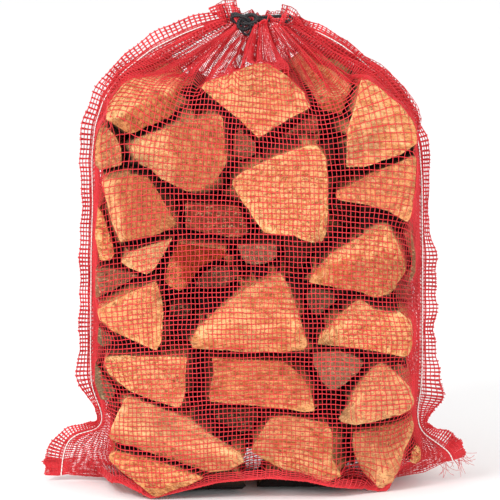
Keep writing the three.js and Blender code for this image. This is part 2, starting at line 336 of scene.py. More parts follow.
@dataclass(frozen=True)
class WoodFinish:
    """Split, dry wood with its rings, fibres and checks, its split sides darkened by painted shade deep in
    the pile.

    Attributes:
        tone: The wood's tone.
        ring: How close the rings lie.
        relief: How deep the relief reads.
        roughness: How matt the wood is.
        torn_colour: Torn fibres.
        raised_highlight_colour: Paler fibres that stand up, with a painted highlight on them.
        pore_colour: Open pores.
        hollow_colour: What the hollows of the relief are darkened towards.
        check_colour: Drying checks.
        rim_highlight_colour: Pale splinters and a painted highlight along the edge of an end.
        dry_colour: The palest, driest logs.
        facet_shade_colour: The painted shade that a face turned from the light is multiplied by.
        gap_shade_colour: The painted shade deep between two logs and under the pile.
    """

    tone: Tone
    ring: float = 210.0
    relief: float = 0.006
    roughness: float = 0.8
    torn_colour: tuple = (120, 60, 32)
    raised_highlight_colour: tuple = (255, 216, 164)
    pore_colour: tuple = (96, 46, 26)
    hollow_colour: tuple = (92, 44, 26)
    check_colour: tuple = (60, 28, 16)
    rim_highlight_colour: tuple = (248, 200, 148)
    dry_colour: tuple = (255, 214, 164)
    facet_shade_colour: tuple = (186, 128, 96)
    gap_shade_colour: tuple = (20, 9, 7)

    def make(self) -> bpy.types.Material:
        """Builds the material.

        Returns:
            The material, which reads the mesh attributes "solid" and "marks".
        """
        shade = Shade(f"wood_{self.tone.value}")
        light, deep = (linear(*c) for c in TONES[self.tone])
        solid = shade.attribute("solid")
        end, hollow_depth, luck = shade.parts(shade.attribute("marks"))
        painted_gap_shade = shade.attribute("painted_gap_shade", "Fac")
        across, up, length = shade.parts(solid)
        reach = shade.node("ShaderNodeVectorMath", {"operation": "LENGTH"},
                           {0: shade.stretch(solid, (1, 1, 0))}).out("Value")
        spread = up.angle_from(across)
        bent = reach + shade.noise(solid, 45, 2) * 0.006
        in_tree = shade.combine(bent, spread * 0.05, length * 0.1)
        bands = shade.noise(in_tree, self.ring, 2, 0.6).ramp(0.36, 0.64)
        fibre = shade.noise(shade.stretch(solid, (1, 1, 0.05)), 480, 4, 0.65)
        mottle = shade.noise(solid, 62, 6, 0.68)
        torn = shade.noise(shade.stretch(solid, (0.75, 1.3, 1)), 190, 5, 0.72)
        grain = shade.noise(shade.stretch(solid, (1, 1, 0.3)), 620, 3, 0.7)
        cloud = shade.noise(solid, 14, 2)
        checks = 1 - abs((spread * 7 + shade.noise(solid, 60, 3) * 5).sine()).ramp(0.0, 0.04)
        checks = checks * shade.noise(solid, 30, 2).ramp(0.56, 0.66) * end
        patch = (mottle * 0.62 + bands * 0.2 + cloud * 0.28).ramp(0.42, 0.68)
        body = shade.mix(light, deep, patch)
        flank = shade.mix(light, deep, fibre.ramp(0.3, 0.75))
        colour = shade.mix(flank, body, end)
        colour = shade.mix(colour, linear(*self.torn_colour), torn.ramp(0.51, 0.63) * 0.62)
        # Paler raised fibres with a painted highlight on them.
        colour = shade.mix(colour, linear(*self.raised_highlight_colour), torn.ramp(0.48, 0.34) * 0.5)
        colour = shade.mix(colour, linear(*self.pore_colour), grain.ramp(0.55, 0.7) * 0.55)
        # Darker in the hollows of the relief.
        colour = shade.mix(colour, linear(*self.hollow_colour), hollow_depth * 0.7)
        colour = shade.mix(colour, linear(*self.check_colour), checks * 0.7)
        # Pale splinters and a painted highlight along the edge of each end.
        rim = (1 - abs(end - 0.35) * 2.4).ramp(0.3, 1.0)
        colour = shade.mix(colour, linear(*self.rim_highlight_colour), rim * 0.35)
        colour = shade.mix(colour, linear(*self.dry_colour), luck.ramp(0.4, 1.0) * 0.22)
        # Painted shade on the facet of an end that turns from the light.
        colour = shade.mix(colour, linear(*self.facet_shade_colour), shade.attribute("painted_facet_shade", "Fac"), "MULTIPLY")
        # Painted shade: deep between the logs and under the pile the wood goes almost black.
        colour = shade.mix(colour, linear(*self.gap_shade_colour), painted_gap_shade)
        height = mottle * 0.7 - torn * 0.6 - grain * 0.2 + bands * 0.25 - checks * 0.6
        normal = shade.bump(height, self.relief, 1.0)
        rough = self.roughness + fibre * 0.12
        return shade.finish({"Base Color": colour, "Normal": normal, "Roughness": rough},
                            {"Specular IOR Level": 0.2})


@dataclass(frozen=True)
class NetFinish:
    """Shiny red stretched plastic yarn.

    Attributes:
        name: The material's name.
        deep: The yarn's deeper red.
        bright: Its brighter red.
        roughness: How matt it is.
    """

    name: str = "net_yarn"
    deep: tuple = (186, 14, 26)
    bright: tuple = (226, 44, 54)
    roughness: float = 0.38

    def make(self) -> bpy.types.Material:
        """Builds the material."""
        shade = Shade(self.name)
        where = shade.node("ShaderNodeTexCoord", {}, {}).out("Object")
        patch = shade.noise(where, 26, 3)
        strand = shade.noise(where, 900, 2)
        blend = (patch * 0.6 + strand * 0.5).ramp(0.3, 0.8)
        colour = shade.mix(linear(*self.deep), linear(*self.bright), blend)
        normal = shade.bump(strand, 0.0003, 0.6)
        rough = self.roughness + strand * 0.15
        return shade.finish({"Base Color": colour, "Normal": normal, "Roughness": rough},
                            {"Specular IOR Level": 0.5})


@dataclass(frozen=True)
class ThreadFinish:
    """White sewing thread."""

    def make(self) -> bpy.types.Material:
        """Builds the material."""
        shade = Shade("seam_thread")
        where = shade.node("ShaderNodeTexCoord", {}, {}).out("Object")
        ply = shade.noise(where, 1600, 2)
        colour = shade.mix(linear(236, 226, 220), linear(255, 250, 246), ply)
        return shade.finish({"Base Color": colour, "Normal": shade.bump(ply, 0.0003, 0.7)},
                            {"Roughness": 0.7})


@dataclass(frozen=True)
class CordFinish:
    """Black plaited cord, a little shiny.

    Attributes:
        plait: How long one turn of the plait is.
        between: The colour between the plaits, darkened as painted shade in the grooves.
        crown: The colour on top of them.
    """

    plait: float = 0.0028
    between: tuple = (4, 4, 6)
    crown: tuple = (28, 28, 32)

    def make(self) -> bpy.types.Material:
        """Builds the material, which reads the mesh attribute "run"."""
        shade = Shade("drawstring_cord")
        round_, along, _ = shade.parts(shade.attribute("run"))
        one = (along * (2 * math.pi / self.plait) + round_ * 3).sine()
        two = (along * (2 * math.pi / self.plait) - round_ * 3).sine()
        weave = one.larger(two) * 0.5 + 0.5
        # Painted shade in the grooves between the plaits.
        colour = shade.mix(linear(*self.between), linear(*self.crown), weave)
        rough = 0.55 - weave * 0.2
        normal = shade.bump(weave, 0.0008, 0.9)
        return shade.finish({"Base Color": colour, "Normal": normal, "Roughness": rough},
                            {"Specular IOR Level": 0.5})


# ---------------------------------------------------------------- meshes


def mesh_piece(name: str, points: np.ndarray, faces: list, material: bpy.types.Material) -> bpy.types.Object:
    """Makes one piece that rides on the bag.

    Args:
        name: The piece's name.
        points: Its corners, one row each.
        faces: Its faces, each a list of corner numbers.
        material: Its finish.

    Returns:
        The piece.
    """
    mesh = bpy.data.meshes.new(name)
    mesh.from_pydata([tuple(p) for p in points], [], faces)
    mesh.validate()
    mesh.materials.append(material)
    mesh.shade_smooth()
    piece = bpy.data.objects.new(name, mesh)
    bpy.context.scene.collection.objects.link(piece)
    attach(piece, ROOT)
    return piece


def vector_attribute(mesh: bpy.types.Mesh, name: str, values: np.ndarray) -> None:
    """Stores a vector at every corner of a mesh."""
    layer = mesh.attributes.new(name, "FLOAT_VECTOR", "POINT")
    layer.data.foreach_set("vector", np.asarray(values, dtype=np.float32).ravel())


@dataclass
class Tube:
    """A bundle of closed tubes that become one mesh.

    Attributes:
        sides: Corners round each tube.
        points: The tubes' corners so far.
        faces: Their faces.
        run: How far round and along its tube each corner lies.
        count: How many corners there are.
    """

    sides: int = 4
    points: list = field(default_factory=list)
    faces: list = field(default_factory=list)
    run: list = field(default_factory=list)
    count: int = 0

    def add(self, path: np.ndarray, radius: float | np.ndarray, flat: float = 1.0) -> None:
        """Adds a tube along a path.

        Args:
            path: The points along its middle, one row each.
            radius: Its radius, the same all along or one for each point.
            flat: How thick it is across its width.
        """
        n = len(path)
        radii = np.broadcast_to(np.asarray(radius, dtype=float), (n,))
        along = np.gradient(path, axis=0)
        along /= np.linalg.norm(along, axis=1, keepdims=True) + 1e-12
        guide = np.array([0.0, 1.0, 0.0]) if abs(along[:, 1]).mean() < 0.8 else np.array([0.0, 0.0, 1.0])
        right = np.cross(along, guide)
        right /= np.linalg.norm(right, axis=1, keepdims=True) + 1e-12
        out = np.cross(right, along)
        turns = np.arange(self.sides) / self.sides * 2 * math.pi + math.pi / self.sides
        across, up = np.cos(turns)[None, :, None], np.sin(turns)[None, :, None]
        ring = across * right[:, None] + up * flat * out[:, None]
        rows = path[:, None] + ring * radii[:, None, None]
        self.points.append(rows.reshape(-1, 3))
        length = np.concatenate([[0], np.cumsum(np.linalg.norm(np.diff(path, axis=0), axis=1))])
        run = np.zeros((n, self.sides, 3))
        run[:, :, 0] = turns
        run[:, :, 1] = length[:, None]
        self.run.append(run.reshape(-1, 3))
        start, s = self.count, self.sides
        i = np.arange(n - 1)[:, None] * s + start
        k = np.arange(s)[None, :]
        quads = np.stack([i + k, i + s + k, i + s + (k + 1) % s, i + (k + 1) % s], axis=-1)
        self.faces.extend(quads.reshape(-1, 4).tolist())
        last = start + (n - 1) * s
        self.faces.append([start + j for j in range(s)])
        self.faces.append([last + j for j in reversed(range(s))])
        self.count += n * s

    def piece(self, name: str, material: bpy.types.Material, slot: str) -> bpy.types.Object:
        """Joins the tubes into one piece.

        Args:
            name: The piece's name.
            material: Its finish.
            slot: Not used.

        Returns:
            The piece.
        """
        made = mesh_piece(name, np.concatenate(self.points), self.faces, material)
        vector_attribute(made.data, "run", np.concatenate(self.run))
        return made


def fractal(points: np.ndarray, scale: tuple[float, float, float], octaves: int = 3) -> np.ndarray:
    """Reads a layered noise at many points.

    Args:
        points: The points, one row each.
        scale: How fine the noise is along each axis.
        octaves: How many layers it has.

    Returns:
        One number for each point, about -1 to 1.
    """
    scaled = points * np.asarray(scale)
    return np.array([noise.fractal(Vector(p), 1.0, 2.0, octaves) for p in scaled])


# ---------------------------------------------------------------- logs


@dataclass(frozen=True)
class LogLook:
    """How one log looks.

    Attributes:
        tone: Its colour.
        rough: How far its split faces stand in and out, in millimetres.
        roof: A ridge across its end: two points as fractions of the end's box, and its height in millimetres.
        pith: Where the tree's middle was, as fractions of the end's box.
        shade: How much painted shade darkens the end on the right of, or below, its ridge.
        spread: How much wider the log has swollen.
    """

    tone: Tone = Tone.HONEY
    rough: float = 1.2
    roof: tuple | None = None
    pith: tuple[float, float] = (0.5, -0.6)
    shade: float = 0.0
    spread: float = 1.0


LOOKS = {
    "log_top_left": LogLook(Tone.PALE, 1.4, ((0.0, 0.28), (1.0, 0.95), 20), (1.2, 0.2), 0.75),
    "log_left_shoulder": LogLook(Tone.BROWN, 1.4),
    "log_upper_left": LogLook(Tone.PALE, 2.4, ((0.46, 0.0), (0.36, 1.0), 9), (0.1, 0.4), 0.6),
    "log_left_square": LogLook(Tone.HONEY, 3.0, ((0.28, 0.0), (0.2, 1.0), 8), (1.1, 0.2), 0.7),
    "log_left_edge": LogLook(Tone.HONEY, 1.0),
    "log_left_splinter": LogLook(Tone.PALE, 1.4, ((0.0, 0.3), (1.0, 0.9), 4)),
    "log_left_dark": LogLook(Tone.DARK, 1.0),
    "log_left_triangle": LogLook(Tone.HONEY, 1.6, ((1.0, 0.55), (0.0, 0.5), 4), (1.1, 1.1)),
    "log_left_sliver": LogLook(Tone.SHADOW, 1.0),
    "log_lower_left": LogLook(Tone.PALE, 1.4, None, (0.0, 1.1)),
    "log_lower_left_dark": LogLook(Tone.SHADOW, 1.0),
    "log_across_upper": LogLook(Tone.PALE, 2.6, ((0.0, 0.6), (1.0, 0.15), 9), (0.3, -2.0), 0.5),
    "log_across_lower": LogLook(Tone.HONEY, 2.2, ((0.0, 0.6), (1.0, 0.5), 7), (0.3, -2.0)),
    "log_top_centre": LogLook(Tone.PALE, 1.3, ((0.4, 0.0), (0.55, 1.0), 3), (0.55, -2.4)),
    "log_top_right_back": LogLook(Tone.PALE, 1.0, ((0.1, 0.1), (1.0, 0.42), 8), (0.5, -0.6), 0.8),
    "log_upper_right": LogLook(Tone.PALE, 1.2, None, (0.1, -2.2)),
    "log_right_wedge": LogLook(Tone.ORANGE, 1.4, ((0.0, 0.3), (1.0, 0.7), 4), (1.1, 1.2)),
    "log_centre": LogLook(Tone.PALE, 1.1, None, (0.9, 0.0)),
    "log_under_top": LogLook(Tone.DARK, 1.0),
    "log_dark_upper_centre": LogLook(Tone.DARK, 1.0),
    "log_dark_rectangle": LogLook(Tone.DARK, 1.0, None, (0.5, 5.0)),
    "log_tipped": LogLook(Tone.ORANGE, 1.6, ((0.4, 0.0), (0.1, 0.75), 12), (0.5, -0.6), 1.0),
    "log_grey_recessed": LogLook(Tone.GREY, 1.0),
    "log_small_recessed": LogLook(Tone.GREY, 1.0),
    "log_centre_triangle": LogLook(Tone.PALE, 1.6, ((0.0, 0.22), (1.0, 0.3), 8), (0.6, -3.0), 0.45),
    "log_right_long": LogLook(Tone.PALE, 2.0, ((0.0, 0.42), (1.0, 0.7), 8), (0.9, 0.1), 0.5),
    "log_right_dark": LogLook(Tone.DARK, 1.0),
    "log_right_light": LogLook(Tone.PALE, 1.4, ((0.0, 0.6), (1.0, 0.35), 5), (0.1, 0.2), 0.15),
    "log_right_gap": LogLook(Tone.SHADOW, 1.0),
    "log_grey_right": LogLook(Tone.GREY, 1.2),
    "log_lower_right": LogLook(Tone.HONEY, 1.5, ((0.0, 0.4), (1.0, 0.6), 6), (0.1, 0.2), 0.15),
    "log_bottom_right": LogLook(Tone.HONEY, 2.8, ((0.6, 0.0), (0.3, 1.0), 8), (0.1, 1.1), 0.25),
    "log_bottom_centre": LogLook(Tone.PALE, 1.5, None, (0.1, -2.4)),
    "log_low_centre": LogLook(Tone.HONEY, 0.9, None, (0.5, -4.0)),
    "log_right_corner": LogLook(Tone.PALE, 0.8),
    "log_left_gap": LogLook(Tone.SHADOW, 1.0),
    "log_low_strip": LogLook(Tone.SHADOW, 1.0),
    "log_back_left_high": LogLook(Tone.SHADOW, 1.0, spread=1.32),
}
# Painted shade: the logs deep in the pile are near black.
DEEP = LogLook(Tone.SHADOW, 1.0)


@dataclass
class SplitLog:
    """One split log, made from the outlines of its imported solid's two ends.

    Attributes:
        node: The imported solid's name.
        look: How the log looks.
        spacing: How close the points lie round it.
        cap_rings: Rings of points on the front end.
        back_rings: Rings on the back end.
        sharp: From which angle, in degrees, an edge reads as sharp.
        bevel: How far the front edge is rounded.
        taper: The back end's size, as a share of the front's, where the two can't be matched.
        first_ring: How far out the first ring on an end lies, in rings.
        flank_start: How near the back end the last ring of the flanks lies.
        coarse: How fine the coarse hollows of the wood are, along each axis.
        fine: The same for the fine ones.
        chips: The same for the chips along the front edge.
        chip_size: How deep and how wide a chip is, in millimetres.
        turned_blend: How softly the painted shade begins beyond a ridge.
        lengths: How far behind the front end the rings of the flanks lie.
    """

    node: str
    look: LogLook
    spacing: float = 0.0042
    cap_rings: int = 11
    back_rings: int = 5
    sharp: float = 42.0
    bevel: float = 0.0009
    taper: float = 0.92
    first_ring: float = 0.35
    flank_start: float = 0.004
    coarse: tuple = (28, 9, 28)
    fine: tuple = (150, 30, 150)
    chips: tuple = (90, 0, 90)
    chip_size: tuple = (4, 3)
    turned_blend: float = 0.005
    lengths: tuple[float, ...] = (0.006, 0.016, 0.03, 0.05, 0.075, 0.1, 0.13, 0.16, 0.19)

    def _ends(self) -> tuple[np.ndarray, np.ndarray]:
        """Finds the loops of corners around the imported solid's front and back ends.

        Returns:
            The two loops, matched corner to corner.
        """
        solid = bmesh.new()
        solid.from_mesh(bpy.data.objects[self.node].data)
        bmesh.ops.remove_doubles(solid, verts=solid.verts, dist=0.02 * MM)
        loops = []
        low = min(v.co.y for v in solid.verts)
        high = max(v.co.y for v in solid.verts)
        middle = (low + high) / 2
        for way in (-1, 1):
            caps = [f for f in solid.faces
                    if f.normal.y * way > 0.5 and (f.calc_center_median().y - middle) * way > 0]
            inside = set(caps)
            rim = {}
            for face in caps:
                for corner in face.loops:
                    if all(other in inside for other in corner.edge.link_faces):
                        continue
                    rim[corner.vert] = corner.link_loop_next.vert
            start = next(iter(rim))
            walk, here = [start.co.copy()], rim[start]
            while here != start:
                walk.append(here.co.copy())
                here = rim[here]
            loops.append(np.array([tuple(p) for p in walk]))
        solid.free()
        front, back = loops[0], loops[1][::-1]
        fc, bc = front.mean(axis=0), back.mean(axis=0)
        n = len(front)
        if len(back) != n:
            return front, bc + (front - fc) * np.array([self.taper, 0, self.taper])
        wanted = bc + (front - fc) * self.taper
        costs = [np.abs((np.roll(back, k, axis=0) - wanted)[:, [0, 2]]).sum() for k in range(n)]
        return front, np.roll(back, int(np.argmin(costs)), axis=0)

    @staticmethod
    def _core(loop: np.ndarray) -> np.ndarray:
        """Finds the point of an outline that sees most of it.

        Args:
            loop: The outline's corners, [x, z].

        Returns:
            The point.
        """
        nxt = np.roll(loop, -1, axis=0)
        edge = nxt - loop
        normal = np.stack([-edge[:, 1], edge[:, 0]], axis=1)
        normal /= np.linalg.norm(normal, axis=1, keepdims=True) + 1e-12
        area = 0.5 * np.sum(loop[:, 0] * nxt[:, 1] - nxt[:, 0] * loop[:, 1])
        normal *= math.copysign(1, area)
        lo, hi = loop.min(axis=0), loop.max(axis=0)
        grid = np.stack(np.meshgrid(*[np.linspace(lo[i], hi[i], 41) for i in (0, 1)]), axis=-1)
        grid = grid.reshape(-1, 2)
        clear = np.min(np.einsum("gek,ek->ge", grid[:, None] - loop[None], normal), axis=1)
        return grid[int(np.argmax(clear))]

    def _resample(self, front: np.ndarray, back: np.ndarray) -> tuple[np.ndarray, np.ndarray]:
        """Adds corners along both outlines so that they are evenly close, and eases the sharp ones.

        Args:
            front: The front loop.
            back: The matching back loop.

        Returns:
            The two finer loops.
        """
        fine = [[], []]
        for i in range(len(front)):
            j = (i + 1) % len(front)
            steps = max(1, round(float(np.linalg.norm(front[j] - front[i])) / self.spacing))
            for s in range(steps):
                t = s / steps
                fine[0].append(front[i] * (1 - t) + front[j] * t)
                fine[1].append(back[i] * (1 - t) + back[j] * t)
        eased = []
        for loop in fine:
            loop = np.array(loop)
            loop = loop * 0.8 + (np.roll(loop, 1, axis=0) + np.roll(loop, -1, axis=0)) * 0.1
            eased.append(loop)
        return eased[0], eased[1]

    def _roof(self, flat: np.ndarray, loop: np.ndarray, inward: np.ndarray) -> np.ndarray:
        """Raises a ridge across the front end.

        Args:
            flat: The end's points, [x, z].
            loop: Its outline, [x, z].
            inward: How far each point is from the outline to the middle, 0 to 1.

        Returns:
            How far each point comes forward.
        """
        if self.look.roof is None:
            return np.zeros(len(flat))
        (ax, az), (bx, bz), height = self.look.roof
        lo, hi = loop.min(axis=0), loop.max(axis=0)
        a, b = lo + (hi - lo) * (ax, az), lo + (hi - lo) * (bx, bz)
        along = (b - a) / np.linalg.norm(b - a)
        off = np.abs((flat - a) @ np.array([-along[1], along[0]]))
        reach = max(off.max(), 1e-6)
        edge = np.clip(inward / 0.25, 0, 1)
        return height * MM * (1 - off / reach) * (0.35 + 0.65 * edge)

    def build(self, material: bpy.types.Material, luck: np.random.Generator) -> bpy.types.Object:
        """Builds the log.

        Args:
            material: Its finish.
            luck: Where its chances come from.

        Returns:
            The log.
        """
        front, back = self._resample(*self._ends())
        for loop in (front, back):
            loop[:, 0] = loop[:, 0].mean() + (loop[:, 0] - loop[:, 0].mean()) * self.look.spread
        n = len(front)
        core2 = self._core(front[:, [0, 2]])
        fit = np.linalg.lstsq(np.c_[front[:, [0, 2]], np.ones(n)], front[:, 1], rcond=None)[0]
        core = np.array([core2[0], core2[0] * fit[0] + core2[1] * fit[1] + fit[2], core2[1]])
        back_core = back.mean(axis=0) + (core - front.mean(axis=0)) * np.array([0.9, 0, 0.9])
        rows, ends, inward = [], [], []
        for k in range(self.cap_rings):
            f = min((k + self.first_ring) / (self.cap_rings - 1 + self.first_ring), 1.0)
            rows.append(core + (front - core) * f)
            ends.append(1.0)
            inward.append(1 - f)
        reach = np.linalg.norm(back - front, axis=1).mean()
        unit = (back - front) / reach
        rows[-1] = core + (front - core) * (1 - self.bevel / 0.04)
        outer = front + unit * self.bevel
        rows.append(outer)
        ends.append(0.35)
        inward.append(0.0)
        clear = reach - 3 * self.flank_start
        for step in [s for s in self.lengths if s < clear] + [reach - self.flank_start]:
            t = step / reach
            rows.append(front + (back - front) * t)
            ends.append(0.0)
            inward.append(0.0)
        for k in range(self.back_rings):
            f = 1 - (k + 0.08) / self.back_rings
            rows.append(back_core + (back - back_core) * f)
            ends.append(1.0)
            inward.append(1 - f)
        stack = np.array(rows)
        ends_at = np.repeat(ends, n)
        inward_at = np.repeat(inward, n)
        points = stack.reshape(-1, 3)
        is_front = np.zeros(len(points), dtype=bool)
        is_front[: self.cap_rings * n] = True
        flat = points[:, [0, 2]]
        points[is_front, 1] -= self._roof(flat[is_front], front[:, [0, 2]], inward_at[is_front])
        seed = luck.uniform(-50, 50, 3)
        points, relief = self._weather(points, ends_at, core, seed, n)
        faces = []
        for r in range(len(rows) - 1):
            a, b = r * n, (r + 1) * n
            faces.extend([[a + i, a + (i + 1) % n, b + (i + 1) % n, b + i] for i in range(n)])
        first, last = len(points), len(points) + 1
        points = np.vstack([points, points[:n].mean(axis=0), points[-n:].mean(axis=0)])
        faces.extend([[first, (i + 1) % n, i] for i in range(n)])
        tail = (len(rows) - 1) * n
        faces.extend([[last, tail + i, tail + (i + 1) % n] for i in range(n)])
        piece = mesh_piece(f"{self.node}_wood", points, faces, material)
        self._face_out(piece)
        piece.data.set_sharp_from_angle(angle=math.radians(self.sharp))
        self._paint(piece, np.append(ends_at, [1, 1]), np.append(relief, [0, 0]), front, seed, luck)
        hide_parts(self.node)
        return piece

    def _weather(self, points: np.ndarray, ends: np.ndarray, core: np.ndarray, seed: np.ndarray,
                 n: int) -> tuple[np.ndarray, np.ndarray]:
        """Makes the split faces uneven and their edges chipped.

        Args:
            points: The log's points.
            ends: 1 on an end, 0 on a side.
            core: The middle of the front end.
            seed: The log's own place in the noise.
            n: How many points go round the log.

        Returns:
            The moved points, and how deep each one lies in a hollow.
        """
        here = points + seed
        coarse = fractal(here, self.coarse, 3)
        fine = fractal(here + 9, self.fine, 2)
        amount = self.look.rough * MM
        relief = coarse * 0.8 + fine * 0.45
        away = points - core
        away[:, 1] = 0
        away /= np.linalg.norm(away, axis=1, keepdims=True) + 1e-9
        side = 1 - ends
        moved = points.copy()
        moved += away * ((relief - 0.5) * amount * side)[:, None]
        moved[:, 1] += relief * amount * 0.75 * ends * np.where(points[:, 1] < core[1] + 0.05, 1, -0.6)
        rim = (self.cap_rings - 1) * n
        edge = slice(rim, rim + 2 * n)
        chips = np.clip(fractal(points[edge] + seed * 2, self.chips, 3) - 0.22, 0, 1)
        deep, wide = self.chip_size
        moved[edge, 1] += chips * deep * MM
        moved[edge] -= away[edge] * (chips * wide * MM)[:, None]
        return moved, relief

    @staticmethod
    def _face_out(piece: bpy.types.Object) -> None:
        """Turns all faces outward."""
        work = bmesh.new()
        work.from_mesh(piece.data)
        bmesh.ops.recalc_face_normals(work, faces=work.faces)
        work.to_mesh(piece.data)
        work.free()

    def _paint(self, piece: bpy.types.Object, ends: np.ndarray, relief: np.ndarray, front: np.ndarray,
               seed: np.ndarray, luck: np.random.Generator) -> None:
        """Stores where each point lies in the tree and how deep it lies in a hollow.

        Args:
            piece: The log.
            ends: 1 on an end, 0 on a side.
            relief: How far each point stands out.
            front: The front loop.
            seed: The log's own place in the noise.
            luck: Where its chances come from.
        """
        mesh = piece.data
        points = np.empty(len(mesh.vertices) * 3)
        mesh.vertices.foreach_get("co", points)
        points = points.reshape(-1, 3)
        lo, hi = front.min(axis=0), front.max(axis=0)
        pith = lo[[0, 2]] + (hi - lo)[[0, 2]] * self.look.pith
        solid = np.stack([points[:, 0] - pith[0], points[:, 2] - pith[1], points[:, 1] + seed[0]], axis=1)
        vector_attribute(mesh, "solid", solid)
        hollow_depth = np.clip(-relief * 0.9 - 0.1, 0, 1)
        light = np.full(len(points), luck.uniform(0.2, 0.9))
        vector_attribute(mesh, "marks", np.stack([ends, hollow_depth, light], axis=1))
        # Painted shade beyond the ridge of each end.
        layer = mesh.attributes.new("painted_facet_shade", "FLOAT", "POINT")
        layer.data.foreach_set("value", self._shaded(points, front, ends).astype(np.float32))

    def _shaded(self, points: np.ndarray, front: np.ndarray, ends: np.ndarray) -> np.ndarray:
        """Tells how much painted shade each point gets, beyond the ridge across the front end."""
        if self.look.roof is None:
            return np.zeros(len(points))
        (ax, az), (bx, bz), _ = self.look.roof
        lo, hi = front.min(axis=0)[[0, 2]], front.max(axis=0)[[0, 2]]
        a, b = lo + (hi - lo) * (ax, az), lo + (hi - lo) * (bx, bz)
        way = (b - a) / np.linalg.norm(b - a)
        off = (points[:, [0, 2]] - a) @ np.array([way[1], -way[0]])
        off += fractal(points, (60, 60, 60), 3) * 0.006
        at_front = points[:, 1] < front[:, 1].max() + 0.02
        return np.clip(0.5 + off / self.turned_blend, 0, 1) * self.look.shade * ends * at_front


@dataclass
class LogPile:
    """All the logs in the bag.

    Attributes:
        logs: The logs.
        shelter: How near another log must be for a flank to get painted shade.
        reach: How wide a gap the logs fill.
        fill: How far one log fills out at most.
        overlap: How firmly they press together.
        floor: How low the undersides fill out in the middle of the pile.
        middle: How far from the bag's middle they do so.
        facing_down: From which slope on a flank faces the floor.
        pressed: How far behind an end a log starts to fill out, and over what length.
        dark: How far behind an end the painted shade starts, and over what length.
    """

    logs: list = field(default_factory=list)
    shelter: float = 0.06
    reach: float = 0.045
    fill: float = 0.023
    overlap: float = 0.0022
    floor: float = 0.004
    middle: float = 0.11
    facing_down: float = 0.3
    pressed: tuple[float, float] = (0.018, 0.024)
    dark: tuple[float, float] = (0.002, 0.022)

    def build(self) -> list[bpy.types.Object]:
        """Builds every log.

        Returns:
            The logs.
        """
        luck = np.random.default_rng(SEED)
        finishes = {tone: WoodFinish(tone).make() for tone in Tone}
        for node in sorted(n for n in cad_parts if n.startswith("log_")):
            look = LOOKS.get(node, DEEP if node.startswith("log_deep") else LogLook())
            self.logs.append(SplitLog(node, look).build(finishes[look.tone], luck))
            LOG.info("%s, %d corners", node, len(self.logs[-1].data.vertices))
        self._press_together()
        return self.logs

    def _press_together(self) -> None:
        """Fills the logs out against each other deep in the pile, and paints shade on the flanks between them
        and under the pile.
        """
        tree, owners = self._tree()
        pressed = []
        for index, log in enumerate(self.logs):
            points, normals = (np.array([tuple(getattr(v, part)) for v in log.data.vertices])
                               for part in ("co", "normal"))
            ends = np.array([tuple(d.vector) for d in log.data.attributes["marks"].data])[:, 0]
            away = normals * np.array([1, 0, 1])
            away /= np.linalg.norm(away, axis=1, keepdims=True) + 1e-9
            depth = np.minimum(points[:, 1] - points[:, 1].min(), points[:, 1].max() - points[:, 1])
            closed, move = np.zeros(len(points)), np.zeros(len(points))
            for k in np.nonzero(ends < 0.3)[0]:
                hit = tree.ray_cast(Vector(points[k] + away[k] * MM), Vector(away[k]), self.shelter)
                if hit[0] is not None and owners[hit[2]] != index:
                    closed[k] = 1
                    move[k] = min(hit[3] / 2 + self.overlap, self.fill) if hit[3] < self.reach else 0
                down = (points[k, 2] - self.floor) / max(-away[k, 2], self.facing_down)
                under = abs(points[k, 0]) < self.middle and away[k, 2] < -self.facing_down
                if under and down < (hit[3] if hit[0] is not None else self.reach):
                    closed[k], move[k] = 1, min(max(down, 0), self.reach)
            move *= np.clip((depth - self.pressed[0]) / self.pressed[1], 0, 1)
            # Painted shade on flanks that face another log or the floor, growing deeper behind the ends.
            closed *= np.clip((depth - self.dark[0]) / self.dark[1], 0, 1)
            pressed.append((log, points + away * move[:, None], closed))
        for log, points, closed in pressed:
            log.data.vertices.foreach_set("co", points.ravel())
            layer = log.data.attributes.new("painted_gap_shade", "FLOAT", "POINT")
            layer.data.foreach_set("value", closed.astype(np.float32))
            log.data.update()

    def _tree(self) -> tuple[BVHTree, list[int]]:
        """Joins the logs' surfaces into one tree, and tells which log each face is of."""
        points, faces, owners = [], [], []
        for index, log in enumerate(self.logs):
            start = len(points)
            points.extend(v.co.copy() for v in log.data.vertices)
            faces.extend([start + i for i in f.vertices] for f in log.data.polygons)
            owners.extend([index] * len(log.data.polygons))
        return BVHTree.FromPolygons(points, faces), owners

    def surface(self) -> BVHTree:
        """Gives the logs' joined surface."""
        return self._tree()[0]


# ---------------------------------------------------------------- net


def along(points: list, share: np.ndarray | float) -> np.ndarray:
    """Reads a line of points at shares of its whole length.

    Args:
        points: The line's points.
        share: Where to read it, 0 at its start and 1 at its end.

    Returns:
        The points there.
    """
    line = np.asarray(points, dtype=float)
    length = np.concatenate([[0], np.cumsum(np.linalg.norm(np.diff(line, axis=0), axis=1))])
    where = np.asarray(share) * length[-1]
    return np.stack([np.interp(where, length, line[:, i]) for i in range(line.shape[1])], axis=-1)


def softened(line: np.ndarray, passes: int) -> np.ndarray:
    """Eases the corners of a line, keeping its two ends."""
    line = line.copy()
    for _ in range(passes):
        line[1:-1] = line[1:-1] * 0.5 + (line[:-2] + line[2:]) * 0.25
    return line


